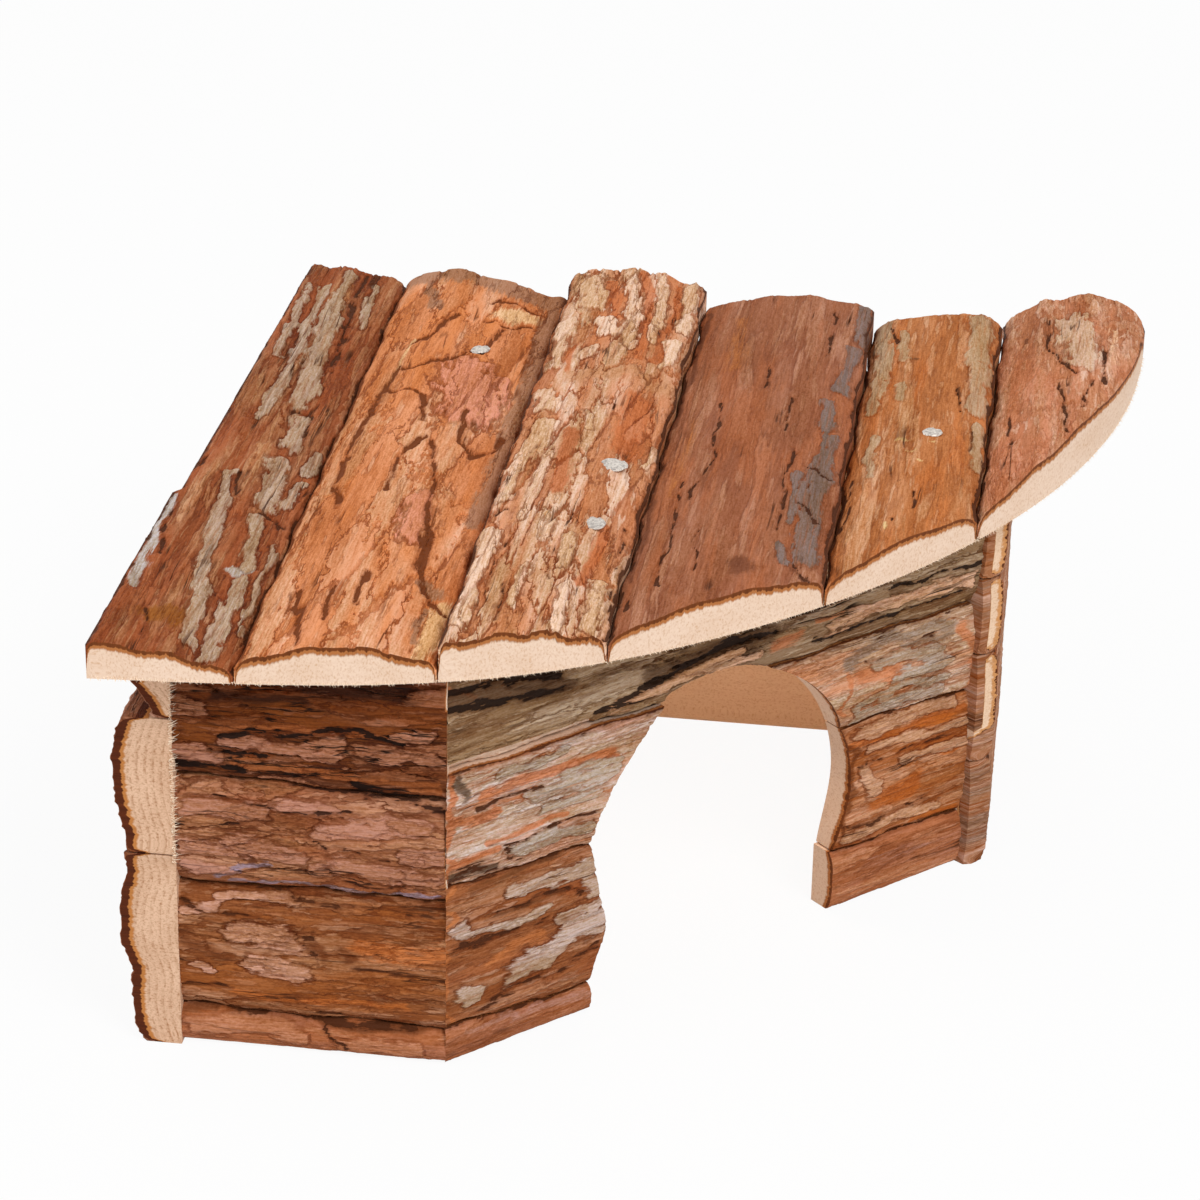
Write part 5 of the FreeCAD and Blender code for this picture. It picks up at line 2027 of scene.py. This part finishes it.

# The stain_c marks along the top of front_wall_board_4 and of slant_wall_board_top are painted shadow of
# the roof's overhang.
MARKS_TABLE = """
[roof_plank_1] the reddish plank: grey-beige stripes on red-brown, weathered white along the left edge
plate: 1.4 186 6.3 150 8 128 8.6 104 7.4; 1.2 194 11 176 10.8; 2.3 174 12 150 12.5 130 13.6 114 15.2;
 0.9 192 18 164 19.2; 2 108 16.6 92 17.6; 2.4 84 16.6 62 18.6; 1.3 92 22.6 82 23; 1.1 76 23.4 64 23;
 1.4 74 7.4 62 8.6; 1.5 60 9.4 40 11 20 13.6 -4 17; 1.4 56 17.4 40 19.6 32 20.4; 1.9 26 20.6 8 21 -9 21.6
stain_b: 3.6 2 8.4 5 11.4
plate 0.8: 1.2 184 2.6 160 4 140 4.6; 0.9 46 23.6 24 24.6 4 25.4
stain_c: 1.1 59 -1.6 44 -1 28 0.2 14 1; 1.5 30 18.6 31 20.6
crack 0.9: 0.6 196 14 176 15.4 160 16.4 148 17.2 136 17.2; 0.5 112 17.6 98 19.6; 0.7 58 17 57 21 54 23.2;
 0.35 52 0.2 30 2.2; 0.4 5 5.6 -8 8; 0.5 80 1 76 1.2; 0.4 74 10.4 62 11.2; 1 110.5 14.4 110.5 16.4
[roof_plank_2] the orange plank: a knot at the back, ragged flake edges, a torn golden corner in front
stain_c: 4.5 193 30 192 62; 2 190 62.5 150 63.4 108 63.6 60 63.8; 1.2 172 36 182 33 192 31; 2.4 27 59 25 61;
 0.8 18 60.6 2 60.8
stain_b 0.95: 3.6 175 52.6 177 57.4; 2 20 63.6 6 63.8 -7 63.4; 0.5 150 34 130 33
plate: 5.2 140 49 126 50.4 113 53.6; 3.4 136 56 118 56.6; 2.8 66 51.6 46 52.6
crack: 0.5 171 41.6 156 39 151 36 147 33; 0.42 166 53.6 150 50.2 145 45 140 42 136.6 40 136 33.6;
 0.4 137 33.6 121 32.4; 0.45 124 34 121 38 119.6 43 106 45; 0.4 170 49 168.4 54 172 60;
 0.5 181 48 184.4 54 181 61; 0.45 114 53 100 55 94.4 57.6 99 61.6 108 62; 0.4 99 47 91 44 86 42.6 68 43;
 0.45 98 48 84 50 66 53 50 56; 0.42 50 55.4 32 56.6 25 58.6 20 62 17 65; 0.5 120 33 100 31.6 85 31;
 0.4 84 30 70 32 58 33.4; 0.9 12 35.4 10.4 36; 0.35 20 34.6 5 37 -7 39.4; 0.3 30 46.6 12 47.6;
 0.3 20 42 2 42.6
[roof_plank_3] the pale plank: cream plates on orange-brown, long orange channels towards the back
plate: 3.2 193 71 182 73 175 74; 2 166 69 150 68.8 138 69; 3 166 78.4 160 78.8; 1.8 150 77 144 76;
 1.7 196 80 186 81.4 170 84; 1.7 168 83.8 154 84.6; 1.3 196 87.4 176 89.2 160 89.8; 1.9 196 94.6 170 96;
 1.5 160 93.8 148 94; 2.3 124 70 114 71; 2.4 106 73 92 72 80 69.6; 1.3 90 75.4 72 75 58 74; 1.7 76 69 64 69;
 1.9 50 68.6 30 69 6 69.2; 1.5 50 86 36 86; 1.6 26 88.4 8 88; 1.8 34 94.4 14 95; 1.3 112 81 104 82;
 1.2 60 80 48 80.4; 1 104 97 90 96.4; 1.3 30 79 14 78.6
stain_b: 1 196 83.4 176 86.4 160 87.2 146 87.6; 1 196 91.2 176 92.6 160 91.6 148 91;
 3 126 91 108 91.4 96 92; 1.3 190 76.6 176 78.6 168 81.4; 1.8 100 79 70 80; 1.2 60 92 30 91;
 0.9 150 72 136 73.4
stain_c 0.8: 4 134 76 138 88 134 97
crack 0.7: 0.35 100 74 85 71 62 71.4 30 72.4 8 72; 0.3 44 83 28 84; 0.3 120 68 110 68; 0.45 60 70.6 58 68;
 0.3 24 75.6 8 76; 0.3 60 96.6 20 97; 0.35 112 75 113 79 108 80
lift -0.5: 2.3 88.2 89.9; 2.1 58.1 89.4
[roof_plank_4] the plum plank: nearly smooth, a blue-grey strip along its right side
plate: 2.6 98 134.6 80 133.6 64 134.4 50 134.6; 1.5 132 133 118 134.4; 1.9 192 137 170 137.4;
 1.2 46 131 54 129; 1.5 166 136.4 140 135.4; 1.7 114 134.8 100 134.6; 0.8 92 130 66 130.4
stain_b 0.6: 3 180 109 150 110; 1.4 120 104 80 103
stain_c 0.85: 3 44 121.4 41 123; 0.9 190 100 120 99.6; 0.8 100 99.4 40 99.6; 1 44 133 41 136
crack 0.95: 0.21 128 109.4 100 110.4 76 108; 0.24 104 127.8 84 127.6 60 128.4; 0.42 46 133 41 137;
 0.28 40 100 24 101; 0.17 150 118 136 118.4; 0.24 86 105.4 60 106.4 34 105.6; 0.42 98 131 92 136;
 0.35 78 131.6 70 136.4; 0.24 132 124.6 112 125.6; 0.21 60 112 40 112.6; 0.28 186 130 160 131.4
[roof_plank_5] the smooth orange plank: grey-beige strips along both sides, small pale scratches
plate: 1.8 190 142 170 143.6 152 144 136 142.6; 1.3 182 147 166 148.4; 2.6 188 165 164 165.6;
 2 160 166.6 136 166.6; 1.2 140 148.4 150 148; 1 120 144 98 144.6; 1.2 128 168 104 168.4
stain_b 0.8: 0.7 117 149 115.6 151.6; 0.5 113 157 114 158; 0.45 108.4 152.4 108 153.6; 0.5 102 155 101 156;
 0.5 70 151 66 151.6
stain_c 0.9: 1.1 166 139.6 158 140.4; 0.8 166 150.6 165 151; 0.6 146 162.4 141 162.8;
 0.8 124 166.8 112 167.2; 0.4 92 152.4 91 152.4
crack 0.95: 0.28 186 144 176 146; 0.24 100 141 74 141.4; 0.21 150 161.6 132 163; 0.24 72 152 70 152.4;
 0.21 86 155 78 155.4
[roof_plank_6] the salmon plank: a grey-beige patch near the back
plate: 3.9 184 186.6 174 188 161 190.4; 1.4 158 187 156 191
stain_b 0.5: 2 180 196 162 197.6
stain_c 0.9: 0.8 180 175.6 177 175.8; 0.7 166 194.6 158 195
crack 0.95: 0.28 166 195 150 195.4; 0.24 187 181 170 182 160 184.6 152 188; 0.24 148 184 130 186.4 120 187;
 0.21 140 174 120 175; 0.21 134 190 150 192
[right_wall_board_1 right_wall_board_2 right_wall_board_3 right_wall_board_4] bark over most of the end
peel -20: 0.8 -4.9 36 -4.9 92
peel -9: 3.2 -4 -6 -4 30
[front_wall_board_4]
plate: 1.7 12 80 18 81; 2.2 13 70 19 69.4; 1.5 24 73 38 73 46 74.6; 1.6 39 71 46 70;
 1.9 50 73 60 72.4 66 72; 1 58 77 66 78
stain_b: 0.9 24 67.6 36 67 50 66.4 66 67; 0.6 20 76 35 77.4 60 77; 0.9 25 70 34 71; 1 60 64.6 67 65
stain_c 0.8: 3.2 12 90 45 87.4 60 88; 1.2 20 83 40 83.4
crack: 0.9 11.6 66 18 65.7 25 66.4; 0.4 23 74.6 40 76.6 52 77.6 60 75.6; 0.3 22 71 35 70.6;
 0.8 48 64 60 63.2 67.5 62.4
peel 4: 0.45 68.3 84 68.3 92
[front_wall_board_3]
plate: 1.8 15 57 30 57.4; 1.4 32 58.4 44 58.8; 1.8 42 54 55 56 64 57.4; 2.2 14 49 28 49 38 47.4;
 2 42 44 48 46 56 45 66 44; 1.4 60 50 67 49.4; 1.3 14 43.4 22 43
stain_b: 0.6 19 40.8 22 42.4 26 44.2 32 45; 0.5 22 39.9 45 39.7 67 39.6
crack 0.8: 0.3 12 53.6 25 53.8 35 51; 0.35 38 55 42 51 44 49.6; 0.3 45 50 56 49; 0.3 20 60 35 57 48 58;
 0.3 40 42 50 41.4 60 42; 0.7 48 62.6 58 61.4 67.5 60.6
peel 4: 0.45 68.3 42 68.3 59
[front_wall_board_2]
plate: 1 20 36.6 30 36 36 36; 2.4 24 28.4 33 28 38 26; 2 26 22 33 20.4 37 19.4; 0.9 14 33 20 34;
 1 15 19.6 17 18.6
stain_b 0.8: 2.7 50 27 60 26 67 27; 1.1 25 13 40 12.4 60 13
stain_c 0.8: 1.4 41.6 26 42.6 24.4; 1.4 46.6 25.6 48.6 24.4; 2 12 26 20 22
crack 0.8: 0.4 12 35 18 33.4 28 32 34 31.4; 0.4 59 34.6 66 34.4; 0.3 36 36.4 44 36 52 36.6;
 0.4 12 14.2 24 14; 0.35 50 22.2 62 21.4; 0.25 40 30 41 22
[front_wall_board_1]
plate: 2.2 14 4.6 30 5.6 37 4; 2 47 3 60 3.4
stain_c: 0.8 12 8.6 18 8.4; 1.1 43 7.8 50 7 64 7.6
crack 0.9: 0.4 43 6 47 3 48 1; 0.6 44 7.4 62 7.2
[slant_wall_board_top]
plate: 1.7 44 70.4 56 71.6 66 73 76 74.4; 1 66 71.6 82 72; 1 108 76 115 75; 1.6 104 73 122 74.4 142 74
stain_b 0.75: 0.5 1 88 6 86 9 84; 0.4 5 83 10 82; 2 86 73 94 74; 0.9 98 76 106 76
stain_c 0.95: 2 0 85 14 83.4 30 81; 3.2 54 75.6 70 76 84 77.6; 1.4 60 73 80 74
peel 6: 0.9 0 68.7 20 68.6 38 68.3
crack: 0.5 0 84 12 82 30 80.4; 0.5 0 87 15 85.6 30 83; 0.7 40 70 50 72.4 60 74.4 70 77 76 78.4;
 0.4 60 76.4 75 77.4 86 77; 0.3 40 69.4 56 70; 0.35 100 71 120 70.4 140 71; 0.3 120 78 146 77
[slant_wall_board_upper_left]
plate: 1.7 18 46.4 26 46.6 38 45.2; 0.9 14 64.8 20 64.6 30 65.8; 1.4 22 57.4 42 57; 1.2 24 53.6 40 53.6;
 1 30 60 44 59.6
stain_b: 1 10 61.6 22 62.4 34 62 44 61; 1.2 2 57.4 13 57.4; 0.7 13 51 31 50.6; 1.2 2 47.4 13 48.6;
 1 0.7 44 0.7 67
stain_c: 1.5 2.6 66 5 63.6; 0.7 2 44.4 14 43.6
crack 0.85: 0.6 1 43.4 8 43.8 16 42.8; 0.4 2 45.6 12 45.4; 0.35 13 50 16 48.6 17 45 20 43.4;
 0.35 16 48.6 30 48.4 40 48.6; 0.3 8 59.4 24 59
[slant_wall_board_middle_left]
plate: 1.6 17 37 28 35.6 39 35.4; 1.8 37 33 40 30.4; 1.6 4.4 33 6.6 30.6; 1.1 5 29.6 20 29 25 29.6;
 1.6 5 17 8 13.4; 3 18 16 26 19 33 22.4 40 22; 1.6 30 26 40 26
stain_b 0.9: 1 0.7 8 0.7 42; 1.5 12 22 24 24
stain_c 0.6: 1.4 8 40 30 41; 1.2 12 33 30 32.4
crack 0.85: 0.35 3 27.4 20 27 28 27; 0.4 6 10 18 12 30 13 42 17; 0.3 15 33.4 30 33 36 30
[slant_wall_board_bottom_left]
stain_b 0.8: 0.7 5 6.6 17 6.2; 0.9 17 5 38 4
crack 0.6: 0.3 6 3.4 30 2.2
[slant_wall_board_upper_right]
plate: 1.2 112 50 125 52 138 51; 1.6 118 60 135 58.4; 1.5 112 47.8 136 48; 1.2 122 55 138 55
stain_b: 1.9 112 58 118 57 122 55.6; 1.9 143 61 147 54 147 46; 0.7 108 49 109 60
stain_c 0.8: 1.7 110 62 120 65 134 64 139 62; 1.2 124 61.6 140 61
crack 0.7: 0.35 112 53.6 126 54 140 53; 0.4 116 61.4 134 62
[slant_wall_board_middle_right]
plate: 1.4 114 43.4 130 44.4 142 43; 1.3 115 38 130 38.4 145 37; 1.9 116 33 118 28;
 1.5 110 17.4 125 18.4 138 17.6; 1.2 128 33 144 32
stain_b: 1.1 110 41 128 41 146 40.6; 2.6 121 24 130 25; 1.3 136 32 142 31; 0.8 130 15 146 14.4
stain_c 0.9: 1.3 110.4 44 111.6 30 109.4 19
crack 0.8: 0.35 110 20.4 120 19.6 134 21; 0.3 114 35.4 140 35
[slant_wall_board_bottom_right]
stain_b 0.5: 1.6 118 9 136 8.4
crack 0.5: 0.3 112 11.6 130 11 146 9.6
"""


def bark_of(node: str) -> BarkFinish:
    """Choose a wall board's bark."""
    ends = {"left_wall": LEFT_END, "right_wall": RIGHT_END}
    return ends.get(node.rpartition("_board")[0], WALL_BARKS.get(node, BROWN))


def main() -> None:
    """Load the frame, build every sub-assembly in order and note the sizes."""
    logging.basicConfig(level=logging.INFO, format="%(name)s: %(message)s", stream=sys.stdout)
    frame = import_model()
    shop = Workshop()
    Studio().build()
    marks = read_marks(MARKS_TABLE)
    roof = Roof(shop, PLANK_FINISHES, marks)
    roof.build()
    Walls(shop, marks).build()
    Nails(shop, NAIL_PLACES, NAIL_SIZES, NAIL_LEANS).build()
    SawFuzz(shop, roof.sawn_curve()).build()
    Frame(shop, frame["nodes"]).dress()


if __name__ == "__main__":
    main()
